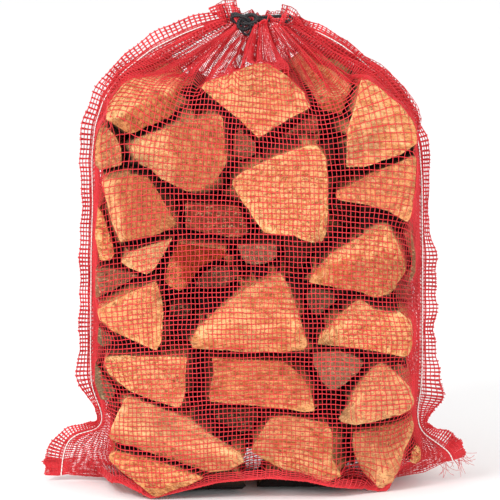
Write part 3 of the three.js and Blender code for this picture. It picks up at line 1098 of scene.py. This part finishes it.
@dataclass
class NetBag:
    """A flat sack of knotted net, folded at the bottom, seamed at both sides and drawn in at the neck.

    Attributes:
        wood: The logs' surfaces.
        seam_y: Where the plane of the side seams lies.
        columns: Cells across one panel.
        rows: Cells from the fold to the drawstring.
        ruffle: Rows above the drawstring.
        flange: Cells outside each seam.
        cell: A cell's width and height.
        hem: How wide a cell outside the seams is.
        seam_chains: Where chains lie close beside a seam, as parts of a cell, outward from it.
        yarn: The radius of the yarns across.
        chain: The radius of the upright chains.
        flat: How thick a strand is, as a share of its width.
        gap: What the net keeps from the wood.
        cover: The share of the cloth's rectangle that its yarns across cover.
        left_seam: Places on the left seam, [x, z] in millimetres, from the ear up to the neck.
        right_seam: Places on the right seam.
        ruffle_height: Shares of the way across, and how far the ruffle stands up there.
        middle: How deep and how high the loose bag is, from the fold up, in millimetres.
        left_width: Heights on the left seam, and how wide the flange is there.
        right_width: The same for the right seam.
        fold_line: Places across the bottom fold and how high it lies there, in millimetres.
        frays: Loose fibres at the right ear.
        arch: Places across the front and how high the band under the logs hangs, in millimetres.
        arch_front: Places across the front and how far forward that band lies, in millimetres.
        band: How tall the band is.
        band_rows: How many rows it gathers.
        steps: For each grid on the way to the full one, how coarse it is, how many rounds it is pulled,
            and how many rounds pass between looks at the wood.
        ease: How far each round pulls a point to the middle of its neighbours.
        sag: How much of its room the net sinks between logs, how far at most, and in how much room at most.
        wander: How far the strands wander in the net's own surface.
        folds: The neck's folds: how many lie across, and how strong they are below and at the drawstring.
        fold_reach: How far a fold stands out at most.
        neck_from: From which share of the way up the cloth is drawn in.
        core_low: The near low left corner of the bag's core, in millimetres.
        core_high: The far high right corner of it.
    """

    wood: BVHTree
    seam_y: float
    columns: int = 104
    rows: int = 144
    ruffle: int = 4
    flange: int = 4
    cell: tuple[float, float] = (0.0061, 0.0053)
    hem: float = 0.0046
    seam_chains: tuple = (-0.75, -0.45, -0.2, 0.2, 0.5, 0.8)
    yarn: float = 0.00066
    chain: float = 0.0005
    flat: float = 0.7
    gap: float = 0.0014
    cover: float = 0.31
    left_seam: tuple = ((-240, 7), (-239, 16), (-238, 28), (-236, 38), (-233, 47), (-229, 53), (-222, 58),
                        (-211, 62), (-199, 64), (-192, 68), (-188, 76), (-190, 90), (-197, 106), (-202, 122),
                        (-203, 150), (-202, 290), (-200, 350), (-201, 406), (-197, 448), (-186, 482),
                        (-164, 514), (-127, 544), (-89, 563), (-64, 573), (-34, 581))
    right_seam: tuple = ((247, 26), (246, 31), (242, 37), (236, 42), (230, 46), (224, 51), (216, 56),
                         (208, 63), (204, 74), (203, 90), (206, 106), (208, 124),
                         (209, 150), (209, 290), (208, 380), (205, 420), (198, 447), (184, 470), (172, 489),
                         (154, 512), (140, 523), (126, 536), (106, 551), (82, 564), (63, 571), (50, 578))
    ruffle_height: tuple = ((0, 0.12, 0.22, 0.36, 0.62, 0.74, 0.84, 0.92, 1),
                            (1, 1.35, 1.1, 0.35, 0.35, 0.95, 0.85, 0.4, 0.1))
    middle: tuple = ((0, 1.5), (126, 1.5), (131, 8), (131, 440), (124, 505), (101, 547), (60, 567), (25, 581))
    left_width: tuple = ((6, 45, 72, 96, 136, 165, 190, 250, 300, 354, 430, 467, 540, 580),
                         (1.12, 1.05, 0.3, 0.35, 1.0, 0.62, 0.9, 0.62, 0.88, 0.6, 1.0, 0.75, 0.9, 0.8))
    right_width: tuple = ((26, 36, 54, 70, 102, 114, 165, 190, 222, 278, 316, 400, 429, 450, 580),
                          (0.75, 1.2, 0.75, 0.6, 1.3, 1.4, 1.0, 0.65, 0.95, 0.95, 0.42, 0.5, 0.75, 0.4, 0.45))
    fold_line: tuple = ((-240, -215, -190, 180, 200, 219, 243, 247), (7, 3, 1.5, 1.5, 6.8, 9.3, 20, 26))
    frays: int = 16
    arch: tuple = ((-192, -165, -150, -128, -92, -43, 20, 65, 89, 135, 156, 176),
                   (12, 17, 12, 1.5, 10, 22, 27, 23, 16, 7, 1.5, 1.5))
    arch_front: tuple = ((-192, -165, -150, -120, 60, 100, 156, 176),
                         (-66, -98, -113, -120, -119, -110, -69, -60))
    band: float = 0.011
    band_rows: int = 7
    steps: tuple = ((8, 160, 1), (4, 90, 2), (2, 40, 4), (1, 16, 4))
    ease: float = 0.9
    sag: tuple[float, float, float] = (0.3, 0.0035, 0.03)
    wander: float = 0.0016
    folds: tuple = ((5, 0.3, 0.95), (11, 0.5, 0.4), (19, 0.5, 0.28), (31, 0.35, 0.15))
    fold_reach: float = 0.0155
    neck_from: float = 0.82
    core_low: tuple = (-150, -64, 60)
    core_high: tuple = (150, 64, 430)

    def _seam(self, side: int, share: np.ndarray) -> np.ndarray:
        """Gives points on a side seam.

        Args:
            side: -1 for the left seam and 1 for the right.
            share: How far up the panel, 0 at the fold and 1 at the drawstring.

        Returns:
            The points.
        """
        places = self.left_seam if side < 0 else self.right_seam
        fine = softened(along(places, np.linspace(0, 1, 160)), 3)
        flat = np.interp(share, (0, 0.1, 0.277, 0.544, 0.712, 1), (0, 0.03, 0.157, 0.44, 0.63, 1))
        spot = along(fine, flat) * MM
        return np.stack([spot[..., 0], np.full(spot.shape[:-1], self.seam_y), spot[..., 1]], axis=-1)

    def _start(self, rows: int, columns: int) -> np.ndarray:
        """Lays both panels loosely round the logs, before they are pulled tight.

        Args:
            rows: Rows in one panel.
            columns: Columns in it.

        Returns:
            The grid of points, from the back's top row over the fold to the front's.
        """
        grid = np.zeros((2 * rows + 1, columns + 1, 3))
        for i in range(2 * rows + 1):
            share = abs(i - rows) / rows
            way = -1 if i > rows else 1
            left, right = self._seam(-1, share), self._seam(1, share)
            depth, height = along(self.middle, share) * MM
            power = 1 / 3 + (1 - 1 / 3) * np.clip((share - 0.86) / 0.14, 0, 1)
            turn = np.linspace(0, math.pi, 181)
            wide, deep = np.abs(np.cos(turn)) ** power * np.sign(np.cos(turn)), np.sin(turn) ** power
            centre, half = (left[0] + right[0]) / 2, (right[0] - left[0]) / 2
            low = left[2] + (right[2] - left[2]) * (1 - wide) / 2
            row = np.stack([centre - half * wide, self.seam_y + way * depth * deep,
                            low + (height - low) * deep], axis=1)
            if i == rows:
                row[:, 2] = np.interp(row[:, 0] / MM, *self.fold_line) * MM
            grid[i] = along(row, np.linspace(0, 1, columns + 1))
        return grid

    def _outward(self, points: np.ndarray) -> np.ndarray:
        """Gives the way out of the bag at some points."""
        low, high = np.array(self.core_low) * MM, np.array(self.core_high) * MM
        arm = points - np.clip(points, low, high)
        return arm / (np.linalg.norm(arm, axis=-1, keepdims=True) + 1e-9)

    def _clearance(self, points: np.ndarray, out: np.ndarray) -> np.ndarray:
        """Measures how far the wood lies under some points.

        Args:
            points: The points, one row each.
            out: The way out of the bag at each.

        Returns:
            The distance to the wood under each, less than 0 inside it.
        """
        lift, reach = 0.06, 0.16
        depth = np.empty(len(points))
        for k, (p, d) in enumerate(zip(points + out * lift, out)):
            hit = self.wood.ray_cast(Vector(p), Vector(-d), reach)
            depth[k] = (hit[3] if hit[0] is not None else reach) - lift
        return depth

    def _off_wood(self, grid: np.ndarray) -> np.ndarray:
        """Moves the points that have sunk into the wood back out, and keeps all above the floor."""
        inner = grid[1:-1, 1:-1].reshape(-1, 3)
        out = self._outward(inner)
        short = np.clip(self.gap - self._clearance(inner, out), 0, None)
        inner = inner + out * short[:, None]
        inner[:, 2] = np.maximum(inner[:, 2], self.gap)
        grid[1:-1, 1:-1] = inner.reshape(grid[1:-1, 1:-1].shape)
        return grid

    def _pull_tight(self) -> np.ndarray:
        """Pulls both panels tight over the wood, from a coarse grid to the full one.

        Returns:
            The full grid of points.
        """
        grid = None
        for stride, rounds, every in self.steps:
            rows, columns = self.rows // stride, self.columns // stride
            fresh = self._start(rows, columns)
            if grid is not None:
                fine = np.zeros_like(fresh)
                fine[::2, ::2] = grid
                fine[1::2, ::2] = (grid[:-1] + grid[1:]) / 2
                fine[:, 1::2] = (fine[:, :-1:2] + fine[:, 2::2]) / 2
                fine[:, 0], fine[:, -1], fine[0], fine[-1] = fresh[:, 0], fresh[:, -1], fresh[0], fresh[-1]
                fresh = fine
            grid = fresh
            coarsest = stride == self.steps[0][0]
            fold = grid[rows].copy() if coarsest else along(fold, np.linspace(0, 1, columns + 1))
            for turn in range(rounds):
                near = (grid[:-2, 1:-1] + grid[2:, 1:-1] + grid[1:-1, :-2] + grid[1:-1, 2:]) / 4
                grid[1:-1, 1:-1] += self.ease * (near - grid[1:-1, 1:-1])
                grid[rows] = fold
                if turn % every == every - 1:
                    grid = self._off_wood(grid)
            LOG.info("net at %d by %d", grid.shape[0], grid.shape[1])
        return self._off_wood(grid)

    def _slacken(self, grid: np.ndarray) -> np.ndarray:
        """Lets the net sink a little between the logs and wander a little in its own surface."""
        flat = grid.reshape(-1, 3)
        out = self._outward(flat)
        share, most, room = self.sag
        sink = np.clip(self._clearance(flat, out), 0, room).reshape(grid.shape[:2])
        sink = np.minimum(sink * share, most)
        for _ in range(12):
            sink[1:-1, 1:-1] = (sink[:-2, 1:-1] + sink[2:, 1:-1] + sink[1:-1, :-2] + sink[1:-1, 2:]) / 4
        sink[:, 0] = sink[:, -1] = 0
        grid = grid - out.reshape(grid.shape) * sink[..., None]
        wander = np.stack([fractal(flat + k * 7.0, (26, 26, 40), 2) for k in range(2)], axis=-1)
        wander = wander.reshape(*grid.shape[:2], 2) * self.wander
        across = np.gradient(grid, axis=1)
        across /= np.linalg.norm(across, axis=-1, keepdims=True) + 1e-12
        up = np.gradient(grid, axis=0)
        up /= np.linalg.norm(up, axis=-1, keepdims=True) + 1e-12
        wander[:, 0] = wander[:, -1] = 0
        return grid + across * wander[..., :1] + up * wander[..., 1:]

    def _sling(self, grid: np.ndarray) -> np.ndarray:
        """Gathers the front panel into the taut band that hangs under the logs' front ends.

        Args:
            grid: Both panels.

        Returns:
            The same grid, with the front's lowest rows moved.
        """
        low, high = self.arch[0][0] * MM, self.arch[0][-1] * MM
        fade, lowest = 0.012, self.rows // 4
        for c in range(1, grid.shape[1] - 1):
            column = grid[self.rows:, c]
            x = column[:lowest, 0]
            under = column[:lowest, 2] < np.interp(x / MM, *self.arch) * MM + self.band
            if not low < x[0] < high or not under.any():
                continue
            last = int(np.nonzero(under)[0].max())
            if last <= self.band_rows:
                continue
            left = last - np.arange(last + 1)
            bend = np.sin(np.clip(left / self.band_rows, 0, 1) * math.pi / 2)
            tuck = np.clip((left - self.band_rows) / (last - self.band_rows), 0, 1)
            place = column[: last + 1, 0] / MM
            hang = np.interp(place, *self.arch) * MM + self.band * (1 - bend)
            front = np.interp(place, *self.arch_front) * MM
            wanted = np.stack([front, hang], axis=1)
            wanted += (column[0, 1:] - wanted) * tuck[:, None]
            share = np.clip((x[0] - low) / fade, 0, 1) * np.clip((high - x[0]) / fade, 0, 1)
            column[: last + 1, 1:] += (wanted - column[: last + 1, 1:]) * share
        return grid

    def _panel(self, grid: np.ndarray, way: int) -> np.ndarray:
        """Takes one panel out of the grid, from the fold up.

        Args:
            grid: Both panels.
            way: -1 for the front and 1 for the back.

        Returns:
            The panel's rows.
        """
        return grid[self.rows:] if way < 0 else grid[self.rows::-1]

    def _gather(self, panel: np.ndarray, way: int, luck: np.random.Generator) -> np.ndarray:
        """Adds the ruffle above the drawstring and folds the cloth that the neck draws in.

        Args:
            panel: The panel's rows, from the fold up.
            way: -1 for the front and 1 for the back.
            luck: Where its chances come from.

        Returns:
            The folded panel with its ruffle.
        """
        top = panel[-1]
        centre = top.mean(axis=0) * np.array([1, 0, 1]) + np.array([0, self.seam_y, 0])
        extra = []
        rise = np.interp(np.linspace(0, 1, len(top)), *self.ruffle_height)
        for k in range(1, self.ruffle + 1):
            spread = 1 + 0.045 * k
            row = centre + (top - centre) * np.array([spread, spread, 1])
            row[:, 2] += 0.0048 * k * rise
            extra.append(row)
        panel = np.concatenate([panel, np.array(extra)])
        flat_width = self.columns * self.cell[0]
        lengths = np.linalg.norm(np.diff(panel, axis=1), axis=-1).sum(axis=1)
        excess = np.clip(flat_width / lengths, 1, 8)
        u = np.linspace(0, 1, panel.shape[1])
        t = np.arange(panel.shape[0]) / self.rows
        wobble = np.interp(u, np.linspace(0, 1, 9), luck.uniform(-0.35, 0.35, 9))
        drift = np.interp(t, np.linspace(0, 1.1, 7), luck.uniform(-0.25, 0.25, 7))
        phase = u[None, :] - 0.5
        share = np.clip((t - self.neck_from) / (1 - self.neck_from), 0, 1)[:, None]
        shape = np.zeros(panel.shape[:2])
        for folds, low, high in self.folds:
            start = luck.uniform(0, 2 * math.pi) if folds > 5 else 0.0
            turn = 2 * math.pi * folds * phase + wobble[None, :] * folds * 0.45 + drift[:, None] * 3 + start
            shape += np.cos(turn) * (low + (high - low) * share)
        reach = np.sqrt(np.clip(excess - 1.0, 0, None)) * lengths / math.pi / (8 + 3 * share[:, 0])
        reach = np.minimum(reach * 0.95, self.fold_reach)
        reach *= np.clip((t - 0.6) / 0.12, 0, 1)
        taper = np.clip(np.minimum(u, 1 - u) / 0.03, 0, 1)
        away = self._fold_way(panel, way)
        folded = panel + away * (shape * reach[:, None] * taper[None, :])[..., None]
        body = folded[: self.rows + 1]
        flat = body.reshape(-1, 3)
        out = self._outward(flat)
        upper = flat[:, 2] > 0.38
        short = np.zeros(len(flat))
        short[upper] = np.clip(self.gap - self._clearance(flat[upper], out[upper]), 0, None)
        short[short > 0.05] = 0
        folded[: self.rows + 1] = (flat + out * short[:, None]).reshape(body.shape)
        return folded

    def _fold_way(self, panel: np.ndarray, way: int) -> np.ndarray:
        """Gives the way in which folds stand out."""
        normal = np.cross(np.gradient(panel, axis=1), np.gradient(panel, axis=0))
        for _ in range(6):
            normal[1:-1] = normal[1:-1] * 0.5 + (normal[:-2] + normal[2:]) * 0.25
            normal[:, 1:-1] = normal[:, 1:-1] * 0.5 + (normal[:, :-2] + normal[:, 2:]) * 0.25
        normal /= np.linalg.norm(normal, axis=-1, keepdims=True) + 1e-12
        middle = normal[self.rows // 2, self.columns // 2]
        return normal * (1 if middle[1] * way > 0 else -1)

    def _with_flanges(self, panel: np.ndarray, way: int) -> np.ndarray:
        """Adds the cells outside the two seams.

        Args:
            panel: The panel's rows.
            way: -1 for the front and 1 for the back.

        Returns:
            The wider panel.
        """
        out = []
        rows = np.arange(panel.shape[0])
        for column, side in ((0, -1), (-1, 1)):
            seam = panel[:, column]
            tangent = np.gradient(seam, axis=0)
            for _ in range(10):
                tangent[1:-1] = tangent[1:-1] * 0.5 + (tangent[:-2] + tangent[2:]) * 0.25
            tangent /= np.linalg.norm(tangent, axis=1, keepdims=True) + 1e-12
            normal = np.stack([-tangent[:, 2] * -side, np.zeros(len(seam)), tangent[:, 0] * -side], axis=1)
            share = np.interp(seam[:, 2] / MM, *(self.left_width if side < 0 else self.right_width))
            layers = []
            for k in range(1, self.flange + 1):
                part = k / self.flange
                slow, quick = np.sin(rows * 0.42 + side + way * 0.5), np.sin(rows * 0.95 + 2 * side)
                wave = (0.0026 * slow + 0.0017 * quick) * part
                width = self.hem * (0.98 + 0.1 * np.sin(rows * 0.31 + side * 2) + 0.06 * np.sin(rows * 0.83))
                ring = seam + normal * (width * k * share)[:, None]
                ring[:, 1] += wave + way * 0.0008
                ring += tangent * (way * 0.0005 * part)
                layers.append(ring)
            out.append(layers)
        left = np.stack(out[0][::-1], axis=1)
        right = np.stack(out[1], axis=1)
        return np.concatenate([left, panel, right], axis=1)

    def _thickness(self, panel: np.ndarray, luck: np.random.Generator) -> np.ndarray:
        """Gives the yarns' radius across one row: thicker outside the seams."""
        radius = np.full(panel.shape[1], self.yarn * luck.uniform(0.92, 1.12))
        radius[: self.flange + 1] *= 1.45
        radius[-self.flange - 1:] *= 1.45
        return radius

    def _strands(self, panel: np.ndarray, way: int, yarn: bpy.types.Material,
                 luck: np.random.Generator) -> list[bpy.types.Object]:
        """Knits one panel.

        Args:
            panel: The panel's points.
            way: -1 for the front and 1 for the back.
            yarn: The yarn's finish.
            luck: Where its chances come from.

        Returns:
            The upright chains and the yarns across.
        """
        name = "front" if way < 0 else "back"
        normal = self._fold_way(panel, way)
        jitter = luck.normal(0, 0.00016, panel.shape)
        knots = panel + jitter
        chains, inlay = Tube(), Tube()
        for c in range(panel.shape[1]):
            thick = 1.4 if c <= self.flange or c >= panel.shape[1] - 1 - self.flange else 1.0
            line = knots[:, c] + normal[:, c] * self.yarn * 0.5
            chains.add(line, self.chain * thick * luck.uniform(0.9, 1.15), self.flat)
        for seam, step in ((self.flange, -1), (panel.shape[1] - 1 - self.flange, 1)):
            for part in self.seam_chains:
                beside = seam + (step if part > 0 else -step)
                line = knots[:, seam] * (1 - abs(part)) + knots[:, beside] * abs(part)
                chains.add(line, self.chain * luck.uniform(1.0, 1.3), self.flat)
        for r in range(0 if way < 0 else 1, panel.shape[0]):
            row = knots[r] - normal[r] * self.yarn * 0.4
            stubs = [row[0] + (row[0] - row[1]) * luck.uniform(0.15, 0.5),
                     row[-1] + (row[-1] - row[-2]) * luck.uniform(0.15, 0.5)]
            row = np.concatenate([stubs[:1], row, stubs[1:]])
            radius = self._thickness(panel, luck)
            inlay.add(row, np.concatenate([radius[:1], radius, radius[-1:]]), self.flat)
        for _ in range(self.frays):
            root = knots[luck.integers(0, 4), -1 - luck.integers(0, 8)]
            inlay.add(self._fray(root, luck), self.yarn * 0.4)
        pieces = [chains.piece(f"net_{name}_chains", yarn, "net_mesh"),
                  inlay.piece(f"net_{name}_inlay", yarn, "net_mesh")]
        for piece in pieces:
            LOG.info("%s, %d faces", piece.name, len(piece.data.polygons))
        return pieces

    @staticmethod
    def _fray(root: np.ndarray, luck: np.random.Generator) -> np.ndarray:
        """Gives the way of one loose fibre at the right ear.

        Args:
            root: Where it leaves the cloth.
            luck: Where its chances come from.

        Returns:
            Its points.
        """
        share = np.linspace(0, 1, 8)
        length, angle, curl = luck.uniform(0.008, 0.026), luck.uniform(-1.9, -0.1), luck.uniform(-1.4, 1.4)
        turn = angle + curl * share
        step = np.stack([np.cos(turn), luck.uniform(-0.3, 0.3) * share, np.sin(turn)], axis=1)
        way = root + np.cumsum(step, axis=0) * length / len(share)
        way[:, 2] = np.maximum(way[:, 2], 0.0012)
        return way

    def build(self) -> dict[str, np.ndarray]:
        """Builds the bag.

        Returns:
            The two panels' points, by name.
        """
        luck = np.random.default_rng(SEED + 1)
        yarn = NetFinish().make()
        grid = self._sling(self._slacken(self._pull_tight()))
        panels = {}
        for way, node in ((-1, "net_front"), (1, "net_back")):
            panel = self._gather(self._panel(grid, way).copy(), way, luck)
            panel = self._with_flanges(panel, way)
            chains, inlay = self._strands(panel, way, yarn, luck)
            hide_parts(node)
            width = (self.columns + 2 * self.flange) * self.cell[0]
            length = (self.rows + self.ruffle) * self.cell[1]
            self.cover * width * length
            panels[node] = panel
        return panels


@dataclass
class SeamStitches:
    """The white stitches along both side seams.

    Attributes:
        panels: The net's two panels, by name.
        radius: The thread's radius.
        flange: Cells outside the seam.
        stitch: How many points one stitch has.
    """

    panels: dict
    radius: float = 0.0008
    flange: int = 4
    stitch: int = 6

    def build(self) -> None:
        """Builds the stitches of both seams, seen from the front and from the back."""
        thread = ThreadFinish().make()
        for name, column in (("left", self.flange), ("right", -1 - self.flange)):
            bundle = Tube(sides=5)
            for way, node in ((-1, "net_front"), (1, "net_back")):
                line = self.panels[node][:-8, column] + np.array([0, way * 0.0024, 0])
                fine = along(line, np.linspace(0, 1, self.stitch * len(line)))
                for start in range(0, len(fine) - self.stitch, self.stitch):
                    stitch = fine[start: start + self.stitch].copy()
                    stitch[[0, -1], 1] -= way * 0.0012
                    bundle.add(stitch, self.radius)
            piece = bundle.piece(f"seam_stitches_{name}", thread, "seam_thread")
            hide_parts(f"seam_thread_{name}")
            LOG.info("%s", piece.name)


@dataclass
class Drawstring:
    """The black cord round the neck, with its knot and small loop.

    Attributes:
        radius: The cord's radius.
        fullness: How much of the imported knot's box its turns take up, along each axis.
        thicker: How much thicker the cord is where it is knotted.
        loop_place: Where the small loop hangs, from the knot's middle.
        tails: Each tail's run to the side, its rise and its bend.
    """

    radius: float = 0.0021
    fullness: tuple[float, float, float] = (1.0, 0.9, 0.9)
    thicker: float = 1.15
    loop_place: tuple[float, float, float] = (0.003, -0.001, -0.0105)
    tails: tuple = ((-0.016, 0.007, 0.005), (0.018, -0.003, -0.003))

    def _ring(self) -> np.ndarray:
        """Gives the cord's way round the neck."""
        low, high = (np.array(v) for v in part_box("drawstring"))
        centre, half = (low + high) / 2, (high - low) / 2
        turn = np.linspace(0, 2 * math.pi, 97)
        wave = 1 + 0.05 * np.sin(turn * 7)
        return np.stack([centre[0] + (half[0] - self.radius) * np.cos(turn) * wave,
                         centre[1] + (half[1] - self.radius) * np.sin(turn) * wave,
                         centre[2] + 0.0015 * np.sin(turn * 3)], axis=1)

    def build(self) -> None:
        """Builds the cord and the knot."""
        cord = CordFinish().make()
        ring = Tube(sides=10)
        ring.add(self._ring()[:-1], self.radius)
        piece = ring.piece("drawstring_cord", cord, "drawstring_cord")
        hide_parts("drawstring")
        low, high = (np.array(v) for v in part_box("drawstring_knot"))
        centre, half = (low + high) / 2, (high - low) / 2
        turn = np.linspace(0, 2 * math.pi, 121)
        knot = Tube(sides=10)
        trefoil = np.stack([np.sin(turn) + 2 * np.sin(2 * turn), -np.sin(3 * turn) * 1.2,
                            np.cos(turn) - 2 * np.cos(2 * turn)], axis=1) / 3
        knot.add((centre + trefoil * half * self.fullness)[:-1], self.radius * self.thicker)
        loop = np.stack([np.cos(turn) * 0.0055, np.sin(turn) * 0.001, np.sin(turn) * 0.0065], axis=1)
        knot.add((centre + loop + np.array(self.loop_place))[:-1], self.radius * 0.75)
        share = np.linspace(0, 1, 14)
        arc = np.sin(share * 3)
        for dx, dz, bend in self.tails:
            tail = centre + np.stack([dx * share, arc * -0.002, dz * share + bend * arc], axis=1)
            knot.add(tail, self.radius)
        piece = knot.piece("drawstring_tied_knot", cord, "drawstring_cord")
        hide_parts("drawstring_knot")
        LOG.info("drawstring")


# ---------------------------------------------------------------- studio


@dataclass
class Studio:
    """The floor, the light and the camera.

    Attributes:
        distance: How far the camera stands from the bag.
        elevation: How many degrees above it the camera stands.
        view_width: How wide the view is at the bag.
        aim: The place that the camera looks at.
        reach: How far the floor runs each way.
        sky: How bright the sky is.
        lamps: Each lamp's name, place, size and power.
        lit_place: The place that the lamps point at.
    """

    distance: float = 20.0
    elevation: float = 10.0
    view_width: float = 0.62
    aim: tuple[float, float, float] = (-0.005, 0.0, 0.2925)
    reach: float = 40.0
    sky: float = 1.0
    lamps: tuple = (("key", (-1.6, -2.2, 1.9), 1.0, 58), ("fill", (1.0, -3.0, 0.2), 1.8, 54))
    lit_place: tuple[float, float, float] = (0, 0, 0.3)

    def build(self) -> None:
        """Builds the studio."""
        self._floor()
        self._lights()
        self._camera()
        LOG.info("studio")

    def _floor(self) -> None:
        """Lays a wide pale floor."""
        corners = [(x * self.reach, y * self.reach, 0) for x, y in ((-1, -1), (1, -1), (1, 1), (-1, 1))]
        mesh = bpy.data.meshes.new("floor")
        mesh.from_pydata(corners, [], [(0, 1, 2, 3)])
        shade = Shade("floor")
        mesh.materials.append(shade.finish({}, {"Base Color": (0.97, 0.97, 0.97, 1), "Roughness": 0.9,
                                                "Specular IOR Level": 0.1}))
        floor = bpy.data.objects.new("floor", mesh)
        bpy.context.scene.collection.objects.link(floor)

    def _lights(self) -> None:
        """Sets the sky and the lamps."""
        scene = bpy.context.scene
        world = bpy.data.worlds.new("studio")
        world.use_nodes = True
        world.node_tree.nodes["Background"].inputs["Color"].default_value = (1, 1, 1, 1)
        world.node_tree.nodes["Background"].inputs["Strength"].default_value = self.sky
        scene.world = world
        for name, place, size, power in self.lamps:
            lamp = bpy.data.lights.new(name, "AREA")
            lamp.size = size
            lamp.energy = power
            holder = bpy.data.objects.new(name, lamp)
            holder.location = place
            toward = Vector(self.lit_place) - Vector(place)
            holder.rotation_euler = toward.to_track_quat("-Z", "Y").to_euler()
            scene.collection.objects.link(holder)
        scene.view_settings.view_transform = "Standard"

    def _camera(self) -> None:
        """Sets the camera in front of the bag."""
        scene = bpy.context.scene
        data = bpy.data.cameras.new("camera")
        data.sensor_width = 36.0
        data.lens = data.sensor_width * self.distance / self.view_width
        data.clip_end = 100
        camera = bpy.data.objects.new("camera", data)
        angle = math.radians(self.elevation)
        back = Vector((0, -math.cos(angle), math.sin(angle)))
        camera.location = Vector(self.aim) + back * self.distance
        camera.rotation_euler = (-back).to_track_quat("-Z", "Y").to_euler()
        scene.collection.objects.link(camera)
        scene.camera = camera


# ---------------------------------------------------------------- all of it


def main() -> None:
    """Builds everything in order."""
    logging.basicConfig(level=logging.INFO, format="%(name)s: %(message)s")
    Studio().build()
    pile = LogPile()
    pile.build()
    seam_y = (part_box("net_front")[1][1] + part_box("net_back")[0][1]) / 2
    panels = NetBag(pile.surface(), seam_y).build()
    SeamStitches(panels).build()
    Drawstring().build()


if __name__ == "__main__":
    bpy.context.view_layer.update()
    main()
